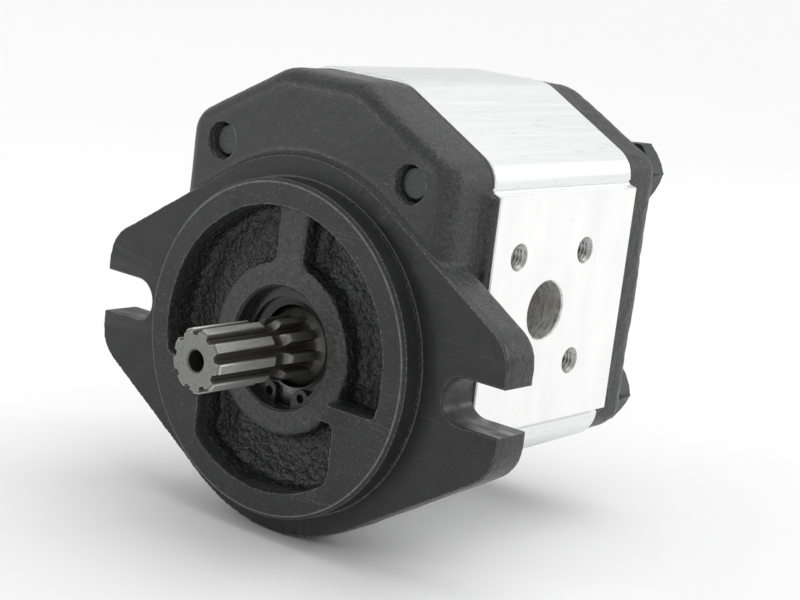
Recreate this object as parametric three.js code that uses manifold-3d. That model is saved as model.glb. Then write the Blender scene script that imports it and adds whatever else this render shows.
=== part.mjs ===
// External gear pump, size group 2, with a two-bolt pilot flange and a splined shaft.
// Millimetres. Origin: the drive shaft's axis at the flange's mounting face.
// +X is right as seen from the shaft end, +Y runs back towards the rear cover, +Z is up.
import * as THREE from "three";
import { mergeVertices } from "three/addons/utils/BufferGeometryUtils.js";
import Module from "manifold-3d";

const wasm = await Module();
wasm.setup();

// ---- Driving dimensions -------------------------------------------------------------------

const CENTRE_DISTANCE = 31.2; // drive axis to driven axis
const MID_Z = CENTRE_DISTANCE / 2; // the body's mid height
const DRIVEN_Z = CENTRE_DISTANCE;
const JOINT_GAP = 0.05; // between faces that are clamped together
const FIT_GAP = 0.1; // radial gap of bearings and pressed rings
const PAST = 1; // how far a cutter or a joined piece runs past its partner's face

// Mounting flange
const PILOT_R = 41.275;
const PILOT_HEIGHT = 6.35;
const PILOT_CHAMFER = 0.9;
const FLANGE_R = 46.6;
const FLANGE_THICKNESS = 11.4;
const EAR_HALF_WIDTH = 64.5;
const EAR_CORNER_R = 10;
const EAR_SIDE_NORMAL_DEG = 58; // direction that the ears' slanted sides face
const SLOT_CENTRE_X = 53.2;
const SLOT_HALF_WIDTH = 5.55;

// Front cover
const COVER_DEPTH = 17.5; // flange face to the body's joint face
const HEAD_FRONT_Y = 1.3;
const HEAD_INSET = 0.6; // the cover is this much smaller than the body all round
const HEAD_BAND_FRONT_Y = 15.5;
const POCKET_OUTER_R = 34.8;
const POCKET_FLOOR_Y = 2.5;
const BOSS_R = 21;
const BOSS_FACE_Y = -3.2;
const BOSS_RECESS_R = 21.2; // the recess is turned just past the boss
const TOP_SPOKE_HALF_WIDTH = 4.5;
const SIDE_POCKET_LOW_Z = -8.6;
const LOW_POCKET_HALF_WIDTH = 21.8;
const LOW_POCKET_TOP_Z = -13; // beside it the lower pads run up to the seal boss
const SEAL_BORE_R = 15;
const SEAL_BORE_END_Y = 9;
const CIRCLIP_GROOVE_R = 15.75;
const CIRCLIP_Y = 0.35;
const CIRCLIP_THICKNESS = 1.2;
const SHAFT_TUNNEL_R = 10.8;
const SPRING_Y = 6.9; // behind the seal's main lip

// Pump body
const BODY_FRONT_Y = COVER_DEPTH + JOINT_GAP;
const BODY_REAR_Y = 76.5 - JOINT_GAP;
const BODY_HALF_WIDTH = 42.5;
const BODY_HALF_HEIGHT = 51.4;
const SLANT_NORMAL_DEG = 61.7; // direction that the body's slanted faces face
const SIDE_CORNER_R = 8;
const TOP_CORNER_R = 12;
const PORT_FACE_X = 44.65;
const PORT_FACE_HALF_HEIGHT = 29.05;
const PORT_STEP = 0.75; // height of the ramp from the body's side out to the port face
const PORT_Y = 42;
const OUTLET_R = 7.25;
const INLET_R = 10;
const PORT_FLOOR_X = 21.5; // the drilled bore ends here, in a cone
const PORT_CONE_SLOPE = 0.45;
const PASSAGE_HALF_LENGTH = 3.2; // the passage from each port's floor to the gears
const PASSAGE_HALF_HEIGHT = 1.7;
const PASSAGE_INNER_X = 6;
const PORT_SCREW_PITCH = 14.14; // half of the square of four screws on a 40 mm circle
const PORT_SCREW_R = 2.6;
const PORT_SCREW_DEPTH = 13;
const GEAR_CHAMBER_R = 18.35;

// Rear cover
const REAR_FRONT_Y = 76.5;
const REAR_BACK_Y = 93.5;
const REAR_INSET = 1;
const REAR_EDGE_R = 7;
const RELIEF_R = 9;
const RELIEF_DEPTH = 4;

// Gears and shafts
const TEETH = 12;
const PITCH_R = CENTRE_DISTANCE / 2;
const MODULE = (2 * PITCH_R) / TEETH;
const PRESSURE_ANGLE_DEG = 20;
const GEAR_TIP_R = 18.1;
const GEAR_ROOT_R = 12.3;
const BACKLASH = 0.2;
const GEAR_FRONT_Y = 37;
const GEAR_REAR_Y = 57;
const JOURNAL_R = 10;
const JOURNAL_CHAMFER = 0.8;
const JOURNAL_REAR_Y = 75.9;
const DRIVEN_FRONT_Y = 18.2;
const SHAFT_END_Y = -31.75;

// Shaft end: nine-tooth involute spline of 16/32 pitch
const SPLINE_TEETH = 9;
const SPLINE_PITCH_R = 7.144;
const SPLINE_TIP_R = 7.73;
const SPLINE_ROOT_R = 6;
const SPLINE_PHASE_DEG = -3.8;
const SPLINE_CHAMFER = 0.9;
const SPLINE_PRESSURE_DEG = 30;
const NECK_R = 5.9;
const CORE_R = 5.7; // root of the run-out cone, inside the spline
const CORE_LENGTH = 3;
const NECK_FRONT_Y = -12;
const NECK_REAR_Y = -7.4;
const RUNOUT_Y = 1;
const JOURNAL_START_Y = 4.6;
const CENTRE_HOLE_R = 2.7;
const CENTRE_HOLE_DEPTH = 7;

// Bearing blocks and sleeves
const BLOCK_R = 18.2;
const FRONT_BLOCK_Y = 17.9;
const REAR_BLOCK_Y = 76.1;
const SIDE_CLEARANCE = 0.05; // between a gear's side and its bearing block
const SLEEVE_OUTER_R = 11.5;
const BLOCK_SEAL_OUTER_R = 16.5;
const BLOCK_SEAL_INNER_R = 14.1;
const BACKUP_THICKNESS = 0.8;
const BLOCK_GROOVE_DEPTH = 2.4;
const SEAL_OPEN_X = -11; // the pressure seals are open on the inlet side of this

// Body seals
const BODY_SEAL_INNER_R = 21;
const BODY_SEAL_OUTER_R = 23;
const BODY_SEAL_DEPTH = 1.5;

// Screws and dowels
const BOLT_X = 29.9;
const BOLT_HALF_PITCH_Z = 30.1;
const BOLT_SHANK_R = 5;
const BOLT_THREAD_R = 4.3;
const BOLT_HOLE_R = 5.5;
const BOLT_THREAD_HOLE_R = 4.65;
const BOLT_LENGTH = 90;
const BOLT_THREAD_LENGTH = 32;
const BOLT_HEAD_HEIGHT = 6.4;
const BOLT_HEAD_CORNER_R = 8.88;
const LOW_BOLT_HOLE_END_Y = 0.6;
const DOWEL_X = 34;
const DOWEL_R = 3;
const DOWEL_LENGTH = 12;

const FINE = 40; // segments of the largest rounds
const ROUND = 32;
const SMALL = 16;
const LOOP = 10; // segments of each end of a loop round both gears
const CORNER = 4; // segments of an outline's corner

// ---- Materials ----------------------------------------------------------------------------

function material(colour, roughness, metalness) {
  return new THREE.MeshStandardMaterial({ color: colour, roughness, metalness });
}

const looks = {
  iron: () => material(0x17191a, 0.5, 0.1),
  aluminium: () => material(0xd9dbdc, 0.35, 1),
  block: () => material(0xa9acae, 0.45, 1),
  steel: () => material(0x8f8c84, 0.35, 1),
  bolt: () => material(0x2f3233, 0.5, 0.7),
  ring: () => material(0x26282a, 0.4, 0.8),
  bronze: () => material(0x9a7443, 0.45, 1),
  rubber: () => material(0x111112, 0.75, 0),
  polymer: () => material(0xd8d2c2, 0.6, 0),
};

// ---- Solid helpers ------------------------------------------------------------------------

const radians = THREE.MathUtils.degToRad;

// A closed three.js geometry as a manifold-3d solid that faces outwards.
function solidOf(geometry) {
  const bare = new THREE.BufferGeometry();
  bare.setAttribute("position", geometry.getAttribute("position"));
  bare.setIndex(geometry.index);
  const merged = mergeVertices(bare, 1e-4);
  const place = merged.getAttribute("position");
  const corner = [new THREE.Vector3(), new THREE.Vector3(), new THREE.Vector3()];
  const kept = [];
  let sixVolumes = 0;
  for (let i = 0; i < merged.index.count; i += 3) {
    const triangle = [0, 1, 2].map((k) => merged.index.getX(i + k));
    if (new Set(triangle).size < 3) continue;
    triangle.forEach((v, k) => corner[k].fromBufferAttribute(place, v));
    sixVolumes += corner[0].dot(corner[1].cross(corner[2]));
    kept.push(triangle);
  }
  if (sixVolumes < 0) kept.forEach((triangle) => triangle.reverse());
  const mesh = new wasm.Mesh({
    numProp: 3,
    vertProperties: place.array,
    triVerts: new Uint32Array(kept.flat()),
  });
  return new wasm.Manifold(mesh);
}

// A flat outline in X and Z, extruded along Y from one station to the other.
function plate(shape, fromY, toY, segments = 12) {
  const depth = toY - fromY;
  const options = { depth, bevelEnabled: false, curveSegments: segments };
  const geometry = new THREE.ExtrudeGeometry(shape, options);
  geometry.rotateX(Math.PI / 2);
  geometry.translate(0, toY, 0);
  return solidOf(geometry);
}

// A profile of [y, radius] points turned about an axis parallel to Y. It starts and ends on the
// axis, or it is closed on itself.
function turned(profile, segments = ROUND, x = 0, z = 0) {
  const points = profile.map(([y, r]) => new THREE.Vector2(r, y));
  const onAxis = points[0].x === 0 && points.at(-1).x === 0;
  if (!onAxis) points.push(points[0].clone());
  const geometry = new THREE.LatheGeometry(points, segments);
  geometry.translate(x, 0, z);
  return solidOf(geometry);
}

// A plain round bar from one station to the other.
function bar(r, fromY, toY, segments = ROUND, x = 0, z = 0) {
  return turned([[fromY, 0], [fromY, r], [toY, r], [toY, 0]], segments, x, z);
}

// A plain round tube.
function tube(innerR, outerR, fromY, toY, segments = ROUND, x = 0, z = 0) {
  const profile = [[fromY, innerR], [fromY, outerR], [toY, outerR], [toY, innerR]];
  return turned(profile, segments, x, z);
}

// A profile of [x, radius] points turned about an axis parallel to X, for the ports.
function crossTurned(profile, y, z, segments) {
  const points = profile.map(([x, r]) => new THREE.Vector2(r, x));
  const geometry = new THREE.LatheGeometry(points, segments);
  geometry.rotateZ(-Math.PI / 2);
  geometry.translate(0, y, z);
  return solidOf(geometry);
}

function crossBar(r, fromX, toX, y, z, segments) {
  return crossTurned([[fromX, 0], [fromX, r], [toX, r], [toX, 0]], y, z, segments);
}

function block(low, high) {
  const size = high.map((v, i) => v - low[i]);
  const geometry = new THREE.BoxGeometry(...size);
  geometry.translate(...low.map((v, i) => v + size[i] / 2));
  return solidOf(geometry);
}

function join(...solids) {
  return solids.reduce((a, b) => a.add(b));
}

function cut(solid, ...tools) {
  return tools.reduce((a, b) => a.subtract(b), solid);
}

// ---- Outlines -----------------------------------------------------------------------------

// The flange: an arc about the shaft, with tangent sides running out to two rounded ears.
function flangeOutline() {
  const normal = radians(EAR_SIDE_NORMAL_DEG);
  const cornerX = EAR_HALF_WIDTH - EAR_CORNER_R;
  const cornerZ = (FLANGE_R - EAR_CORNER_R - cornerX * Math.cos(normal)) / Math.sin(normal);
  const shape = new THREE.Shape();
  shape.absarc(cornerX, cornerZ, EAR_CORNER_R, 0, normal);
  shape.absarc(0, 0, FLANGE_R, normal, Math.PI - normal);
  shape.absarc(-cornerX, cornerZ, EAR_CORNER_R, Math.PI - normal, Math.PI);
  shape.absarc(-cornerX, -cornerZ, EAR_CORNER_R, Math.PI, Math.PI + normal);
  shape.absarc(0, 0, FLANGE_R, Math.PI + normal, 2 * Math.PI - normal);
  shape.absarc(cornerX, -cornerZ, EAR_CORNER_R, 2 * Math.PI - normal, 2 * Math.PI);
  return shape;
}

// The body's octagon-like section about its mid height, made smaller all round by an inset, and
// with or without the raised bands that carry the port faces.
function bodyOutline(inset, withPortBands) {
  const normal = radians(SLANT_NORMAL_DEG);
  const slantDistance = BODY_HALF_HEIGHT - inset;
  const sideR = SIDE_CORNER_R;
  const topR = TOP_CORNER_R;
  const sideX = BODY_HALF_WIDTH - inset - sideR;
  const sideZ = (slantDistance - sideR - sideX * Math.cos(normal)) / Math.sin(normal);
  const topZ = BODY_HALF_HEIGHT - inset - topR;
  const topX = (slantDistance - topR - topZ * Math.sin(normal)) / Math.cos(normal);
  const bandX = PORT_FACE_X - inset / 2;
  const bandZ = PORT_FACE_HALF_HEIGHT - inset / 2;
  const rampX = sideX + sideR;
  const rampZ = bandZ + PORT_STEP;
  const shape = new THREE.Shape();
  const corner = (sx, sz, from, to) => shape.absarc(sx * sideX, MID_Z + sz * sideZ, sideR, from, to);
  const crown = (sx, sz, from, to) => shape.absarc(sx * topX, MID_Z + sz * topZ, topR, from, to);
  corner(1, 1, 0, normal);
  crown(1, 1, normal, Math.PI / 2);
  crown(-1, 1, Math.PI / 2, Math.PI - normal);
  corner(-1, 1, Math.PI - normal, Math.PI);
  if (withPortBands) {
    shape.lineTo(-rampX, MID_Z + rampZ);
    shape.lineTo(-bandX, MID_Z + bandZ);
    shape.lineTo(-bandX, MID_Z - bandZ);
    shape.lineTo(-rampX, MID_Z - rampZ);
  }
  corner(-1, -1, Math.PI, Math.PI + normal);
  crown(-1, -1, Math.PI + normal, 1.5 * Math.PI);
  crown(1, -1, 1.5 * Math.PI, 2 * Math.PI - normal);
  corner(1, -1, 2 * Math.PI - normal, 2 * Math.PI);
  if (withPortBands) {
    shape.lineTo(rampX, MID_Z - rampZ);
    shape.lineTo(bandX, MID_Z - bandZ);
    shape.lineTo(bandX, MID_Z + bandZ);
    shape.lineTo(rampX, MID_Z + rampZ);
  }
  return shape;
}

// A slot-shaped loop round both gear axes.
function stadium(r) {
  const shape = new THREE.Shape();
  shape.absarc(0, DRIVEN_Z, r, 0, Math.PI);
  shape.absarc(0, 0, r, Math.PI, 2 * Math.PI);
  return shape;
}

// Two round bars of one radius, on the two gear axes.
function figureEight(r, fromY, toY) {
  return join(bar(r, fromY, toY, FINE), bar(r, fromY, toY, FINE, 0, DRIVEN_Z));
}

// One corner of a toothed wheel's flank: the point at radius r on an involute from baseR.
function involutePoint(baseR, r, halfAngleAtBase, side) {
  const roll = Math.sqrt(Math.max((r / baseR) ** 2 - 1, 0));
  const angle = halfAngleAtBase - (roll - Math.atan(roll));
  return { r, angle: side * angle };
}

// A toothed section about the origin: the thickness is measured along the pitch circle.
function toothedOutline({ teeth, pitchR, baseR, tipR, rootR, thickness, phase, flankSteps }) {
  const rollAtPitch = Math.sqrt((pitchR / baseR) ** 2 - 1);
  const halfAngleAtBase = thickness / (2 * pitchR) + rollAtPitch - Math.atan(rollAtPitch);
  const flankStart = Math.max(baseR, rootR);
  const tooth = [];
  if (rootR < baseR) tooth.push({ r: rootR, angle: -halfAngleAtBase });
  for (const side of [-1, 1]) {
    for (let i = 0; i <= flankSteps; i += 1) {
      const along = side < 0 ? i / flankSteps : 1 - i / flankSteps;
      const r = flankStart + (tipR - flankStart) * along;
      tooth.push(involutePoint(baseR, r, halfAngleAtBase, side));
    }
  }
  if (rootR < baseR) tooth.push({ r: rootR, angle: halfAngleAtBase });
  const points = [];
  for (let n = 0; n < teeth; n += 1) {
    const centre = phase + (2 * Math.PI * n) / teeth;
    for (const { r, angle } of tooth) {
      points.push(new THREE.Vector2(r * Math.cos(centre + angle), r * Math.sin(centre + angle)));
    }
  }
  return new THREE.Shape(points);
}

// ---- Front cover --------------------------------------------------------------------------

function boltPlaces() {
  const high = MID_Z + BOLT_HALF_PITCH_Z;
  const low = MID_Z - BOLT_HALF_PITCH_Z;
  return [
    { x: BOLT_X, z: high, turn: 5, upper: true },
    { x: BOLT_X, z: low, turn: -1, upper: false },
    { x: -BOLT_X, z: low, turn: 22, upper: false },
    { x: -BOLT_X, z: high, turn: 41, upper: true },
  ];
}

// The three cast pockets, between the spigot's rim and the seal boss.
function spigotPockets() {
  const front = -PILOT_HEIGHT - PAST;
  const ring = tube(BOSS_R, POCKET_OUTER_R, front, POCKET_FLOOR_Y, FINE);
  const reach = POCKET_OUTER_R + PAST;
  const side = (sign) => {
    const inner = sign * TOP_SPOKE_HALF_WIDTH;
    const outer = sign * reach;
    const low = [Math.min(inner, outer), front - PAST, SIDE_POCKET_LOW_Z];
    const high = [Math.max(inner, outer), POCKET_FLOOR_Y + PAST, reach];
    return ring.intersect(block(low, high));
  };
  const lowCorner = [-LOW_POCKET_HALF_WIDTH, front - PAST, -reach];
  const highCorner = [LOW_POCKET_HALF_WIDTH, POCKET_FLOOR_Y + PAST, LOW_POCKET_TOP_Z];
  return join(side(1), side(-1), ring.intersect(block(lowCorner, highCorner)));
}

// The turned recess over the seal boss and the top spoke.
function bossRecess() {
  const front = -PILOT_HEIGHT - PAST;
  const spoke = block(
    [-TOP_SPOKE_HALF_WIDTH - 0.5, front, 0],
    [TOP_SPOKE_HALF_WIDTH + 0.5, BOSS_FACE_Y, POCKET_OUTER_R + PAST],
  );
  const rim = bar(POCKET_OUTER_R, front, BOSS_FACE_Y, FINE);
  return join(bar(BOSS_RECESS_R, front, BOSS_FACE_Y, FINE), spoke.intersect(rim));
}

function shaftBore() {
  const front = -PILOT_HEIGHT - PAST;
  return join(
    bar(SEAL_BORE_R, front, SEAL_BORE_END_Y),
    bar(CIRCLIP_GROOVE_R, CIRCLIP_Y - 0.1, CIRCLIP_Y + CIRCLIP_THICKNESS + 0.1),
    bar(SHAFT_TUNNEL_R, front, COVER_DEPTH + PAST),
  );
}

// A slot that runs from the mounting bolt's centre out through the ear.
function earSlot(sign) {
  const rear = FLANGE_THICKNESS + PAST;
  const inner = sign * SLOT_CENTRE_X;
  const outer = sign * (EAR_HALF_WIDTH + PAST);
  const channel = block(
    [Math.min(inner, outer), -PAST, -SLOT_HALF_WIDTH],
    [Math.max(inner, outer), rear, SLOT_HALF_WIDTH],
  );
  return join(channel, bar(SLOT_HALF_WIDTH, -PAST, rear, SMALL, inner, 0));
}

function frontCover() {
  const edgeY = -PILOT_HEIGHT + PILOT_CHAMFER;
  const edgeR = PILOT_R - PILOT_CHAMFER;
  const rootY = 2; // inside the flange
  const spigot = turned(
    [[-PILOT_HEIGHT, 0], [-PILOT_HEIGHT, edgeR], [edgeY, PILOT_R], [rootY, PILOT_R], [rootY, 0]],
    FINE,
  );
  const casting = join(
    plate(flangeOutline(), 0, FLANGE_THICKNESS, 6),
    plate(bodyOutline(HEAD_INSET, false), HEAD_FRONT_Y, COVER_DEPTH, CORNER),
    plate(bodyOutline(HEAD_INSET, true), HEAD_BAND_FRONT_Y, COVER_DEPTH, CORNER),
    spigot,
  );
  const threads = boltPlaces().map(({ x, z, upper }) => {
    const front = upper ? HEAD_FRONT_Y - PAST : LOW_BOLT_HOLE_END_Y;
    return bar(BOLT_THREAD_HOLE_R, front, COVER_DEPTH + PAST, SMALL, x, z);
  });
  return cut(
    casting,
    spigotPockets(),
    bossRecess(),
    shaftBore(),
    earSlot(1),
    earSlot(-1),
    ...threads,
    ...dowelHoles(COVER_DEPTH),
  );
}

// ---- Pump body ----------------------------------------------------------------------------

// The two dowel holes across the joint face at one station.
function dowelHoles(jointY) {
  const endClearance = 0.3;
  const reach = DOWEL_LENGTH / 2 + endClearance;
  return [-DOWEL_X, DOWEL_X].map((x) =>
    bar(DOWEL_R + FIT_GAP, jointY - reach, jointY + reach, SMALL, x, MID_Z),
  );
}

// One side's port: a drilled bore, a flat passage on to the gears and four screw holes.
function portHoles(sign, portR) {
  const face = sign * (PORT_FACE_X + PAST);
  const floor = sign * PORT_FLOOR_X;
  const point = sign * (PORT_FLOOR_X - PORT_CONE_SLOPE * portR);
  const bore = [[face, 0], [face, portR], [floor, portR], [point, 0]];
  const [passageFrom, passageTo] = [sign * PASSAGE_INNER_X, floor].sort((a, b) => a - b);
  const holes = [
    crossTurned(bore, PORT_Y, MID_Z, ROUND),
    block(
      [passageFrom, PORT_Y - PASSAGE_HALF_LENGTH, MID_Z - PASSAGE_HALF_HEIGHT],
      [passageTo, PORT_Y + PASSAGE_HALF_LENGTH, MID_Z + PASSAGE_HALF_HEIGHT],
    ),
  ];
  for (const dy of [-PORT_SCREW_PITCH, PORT_SCREW_PITCH]) {
    for (const dz of [-PORT_SCREW_PITCH, PORT_SCREW_PITCH]) {
      const depth = sign * (PORT_FACE_X - PORT_SCREW_DEPTH);
      holes.push(crossBar(PORT_SCREW_R, face, depth, PORT_Y + dy, MID_Z + dz, SMALL));
    }
  }
  return holes;
}

// The groove of a body seal, open at one end face of the body.
function sealGroove(faceY, inwards) {
  const inner = BODY_SEAL_INNER_R - FIT_GAP;
  const outer = BODY_SEAL_OUTER_R + FIT_GAP;
  const ends = [faceY - inwards, faceY + inwards * BODY_SEAL_DEPTH];
  const [fromY, toY] = ends.sort((a, b) => a - b);
  const core = plate(stadium(inner), fromY - PAST, toY + PAST, LOOP);
  return cut(plate(stadium(outer), fromY, toY, LOOP), core);
}

function pumpBody() {
  const bolts = boltPlaces().map(({ x, z }) =>
    bar(BOLT_HOLE_R, BODY_FRONT_Y - PAST, BODY_REAR_Y + PAST, SMALL, x, z),
  );
  return cut(
    plate(bodyOutline(0, true), BODY_FRONT_Y, BODY_REAR_Y, CORNER),
    figureEight(GEAR_CHAMBER_R, BODY_FRONT_Y - PAST, BODY_REAR_Y + PAST),
    ...bolts,
    ...portHoles(1, OUTLET_R),
    ...portHoles(-1, INLET_R),
    ...dowelHoles(COVER_DEPTH),
    ...dowelHoles(REAR_FRONT_Y),
    sealGroove(BODY_FRONT_Y, 1),
    sealGroove(BODY_REAR_Y, -1),
  );
}

// ---- Rear cover ---------------------------------------------------------------------------

// A plate with a rounded rear edge, made twice as deep as needed and halved.
function roundedRearPlate() {
  const depth = REAR_BACK_Y - REAR_FRONT_Y;
  const geometry = new THREE.ExtrudeGeometry(bodyOutline(REAR_INSET, false), {
    depth: 2 * depth - 2 * REAR_EDGE_R,
    bevelEnabled: true,
    bevelThickness: REAR_EDGE_R,
    bevelSize: REAR_EDGE_R,
    bevelOffset: -REAR_EDGE_R,
    bevelSegments: 3,
    curveSegments: CORNER,
  });
  geometry.rotateX(Math.PI / 2);
  geometry.translate(0, REAR_BACK_Y - REAR_EDGE_R, 0);
  const far = 100;
  return cut(solidOf(geometry), block([-far, REAR_FRONT_Y - far, -far], [far, REAR_FRONT_Y, far]));
}

function rearCover() {
  const bolts = boltPlaces().map(({ x, z }) =>
    bar(BOLT_HOLE_R, REAR_FRONT_Y - PAST, REAR_BACK_Y + PAST, SMALL, x, z),
  );
  return cut(
    roundedRearPlate(),
    plate(stadium(RELIEF_R), REAR_FRONT_Y - PAST, REAR_FRONT_Y + RELIEF_DEPTH, LOOP),
    ...bolts,
    ...dowelHoles(REAR_FRONT_Y),
  );
}

// ---- Gears --------------------------------------------------------------------------------

function gearWheel(phase) {
  const outline = toothedOutline({
    teeth: TEETH,
    pitchR: PITCH_R,
    baseR: PITCH_R * Math.cos(radians(PRESSURE_ANGLE_DEG)),
    tipR: GEAR_TIP_R,
    rootR: GEAR_ROOT_R,
    thickness: (Math.PI * MODULE - BACKLASH) / 2,
    phase,
    flankSteps: 3,
  });
  return plate(outline, GEAR_FRONT_Y, GEAR_REAR_Y, 1);
}

// The splined end, with its end chamfer and the neck between its two lengths.
function splinedEnd() {
  const outline = toothedOutline({
    teeth: SPLINE_TEETH,
    pitchR: SPLINE_PITCH_R,
    baseR: SPLINE_PITCH_R * Math.cos(radians(SPLINE_PRESSURE_DEG)),
    tipR: SPLINE_TIP_R,
    rootR: SPLINE_ROOT_R,
    thickness: (Math.PI * SPLINE_PITCH_R) / SPLINE_TEETH,
    phase: radians(SPLINE_PHASE_DEG),
    flankSteps: 2,
  });
  const chamferR = SPLINE_TIP_R - SPLINE_CHAMFER;
  const over = SPLINE_TIP_R + PAST;
  const neckFlare = 0.6; // how far each end of the neck widens along the shaft
  const blank = turned([
    [SHAFT_END_Y, 0],
    [SHAFT_END_Y, chamferR],
    [SHAFT_END_Y + SPLINE_CHAMFER, SPLINE_TIP_R],
    [SHAFT_END_Y + SPLINE_CHAMFER, over],
    [NECK_FRONT_Y, over],
    [NECK_FRONT_Y + neckFlare, NECK_R],
    [NECK_REAR_Y - neckFlare, NECK_R],
    [NECK_REAR_Y + neckFlare, over],
    [RUNOUT_Y + PAST, over],
    [RUNOUT_Y + PAST, 0],
  ]);
  return plate(outline, SHAFT_END_Y, RUNOUT_Y + PAST, 1).intersect(blank);
}

function driveGearShaft() {
  const journal = turned([
    [RUNOUT_Y - CORE_LENGTH, 0],
    [RUNOUT_Y - CORE_LENGTH, CORE_R],
    [RUNOUT_Y, SPLINE_TIP_R],
    [JOURNAL_START_Y, JOURNAL_R],
    [JOURNAL_REAR_Y - JOURNAL_CHAMFER, JOURNAL_R],
    [JOURNAL_REAR_Y, JOURNAL_R - JOURNAL_CHAMFER],
    [JOURNAL_REAR_Y, 0],
  ]);
  const holeEndY = SHAFT_END_Y + CENTRE_HOLE_DEPTH;
  const drillPoint = 1.5;
  const centreHole = turned(
    [
      [SHAFT_END_Y - PAST, 0],
      [SHAFT_END_Y - PAST, CENTRE_HOLE_R],
      [holeEndY - drillPoint, CENTRE_HOLE_R],
      [holeEndY, 0],
    ],
    SMALL,
  );
  return cut(join(splinedEnd(), journal, gearWheel(0)), centreHole);
}

// The driven gear is made on the drive axis and its mesh is placed on its own axis.
function drivenGearShaft() {
  const journal = turned([
    [DRIVEN_FRONT_Y, 0],
    [DRIVEN_FRONT_Y, JOURNAL_R - JOURNAL_CHAMFER],
    [DRIVEN_FRONT_Y + JOURNAL_CHAMFER, JOURNAL_R],
    [JOURNAL_REAR_Y - JOURNAL_CHAMFER, JOURNAL_R],
    [JOURNAL_REAR_Y, JOURNAL_R - JOURNAL_CHAMFER],
    [JOURNAL_REAR_Y, 0],
  ]);
  return join(journal, gearWheel(Math.PI / TEETH));
}

// ---- Bearing blocks, sleeves and their seals ----------------------------------------------

// An "8" of two loops with a bar between them, open on the inlet side, as a solid.
function threeShape(outerR, innerR, fromY, toY, openX) {
  const loops = figureEight(outerR, fromY, toY);
  const holes = figureEight(innerR, fromY - PAST, toY + PAST);
  const far = 40;
  return cut(loops, holes, block([-far, fromY - PAST, -far], [openX, toY + PAST, 2 * far]));
}

// A bearing block: outerY is its face towards the cover, gearY its face towards the gears.
function bearingBlock(outerY, gearY) {
  const inwards = Math.sign(gearY - outerY);
  const fromY = Math.min(outerY, gearY);
  const toY = Math.max(outerY, gearY);
  const grooveEnds = [outerY - inwards, outerY + inwards * BLOCK_GROOVE_DEPTH];
  const [grooveFrom, grooveTo] = grooveEnds.sort((a, b) => a - b);
  return cut(
    figureEight(BLOCK_R, fromY, toY),
    figureEight(SLEEVE_OUTER_R + FIT_GAP, fromY - PAST, toY + PAST),
    threeShape(BLOCK_SEAL_OUTER_R, BLOCK_SEAL_INNER_R, grooveFrom, grooveTo, SEAL_OPEN_X),
  );
}

function bearingSleeve(fromY, toY, z) {
  const endGap = 0.2;
  return tube(JOURNAL_R + FIT_GAP, SLEEVE_OUTER_R, fromY + endGap, toY - endGap, ROUND, 0, z);
}

// A ring that fills a bearing block's groove from one depth to another.
function grooveRing(outerY, inwards, fromDepth, toDepth) {
  const ends = [outerY + inwards * fromDepth, outerY + inwards * toDepth];
  const [fromY, toY] = ends.sort((a, b) => a - b);
  const outerR = BLOCK_SEAL_OUTER_R - FIT_GAP;
  const innerR = BLOCK_SEAL_INNER_R + FIT_GAP;
  return threeShape(outerR, innerR, fromY, toY, SEAL_OPEN_X + FIT_GAP);
}

// The hard backup ring lies nearest the cover, over the rubber seal.
function backupRing(outerY, inwards) {
  return grooveRing(outerY, inwards, 0, BACKUP_THICKNESS);
}

function pressureSeal(outerY, inwards) {
  return grooveRing(outerY, inwards, BACKUP_THICKNESS + FIT_GAP, BLOCK_GROOVE_DEPTH - FIT_GAP);
}

function bodySeal(faceY, inwards) {
  const ends = [faceY, faceY + inwards * (BODY_SEAL_DEPTH - FIT_GAP)];
  const [fromY, toY] = ends.sort((a, b) => a - b);
  const loop = plate(stadium(BODY_SEAL_OUTER_R), fromY, toY, LOOP);
  return cut(loop, plate(stadium(BODY_SEAL_INNER_R), fromY - PAST, toY + PAST, LOOP));
}

// ---- Shaft seal and circlip ---------------------------------------------------------------

// Rubber: an outer sleeve, a front wall, a dust lip and the main lip that bears on the shaft.
// Both profiles are [station, radius] pairs.
function shaftSeal() {
  return turned([
    [1.8, 11.2],
    [1.8, 14.9],
    [8.8, 14.9],
    [8.8, 14.2],
    [2.9, 14.2],
    [2.9, 12],
    [4, 11.7],
    [6, 11.3],
    [7.8, 11.2],
    [7.8, 10.5],
    [6.4, 10.15],
    [5, 10.7],
    [3.4, 10.7],
    [2.6, 10.2],
    [2.2, 10.2],
  ]);
}

function shaftSealCase() {
  return turned([
    [3.1, 12.3],
    [3.1, 14],
    [8.6, 14],
    [8.6, 13.3],
    [3.9, 13.3],
    [3.9, 12.3],
  ]);
}

function garterSpring() {
  const ringR = 12;
  const coilR = 0.55;
  const coilSides = 6;
  const geometry = new THREE.TorusGeometry(ringR, coilR, coilSides, ROUND);
  geometry.rotateX(Math.PI / 2);
  geometry.translate(0, SPRING_Y, 0);
  return solidOf(geometry);
}

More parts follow.
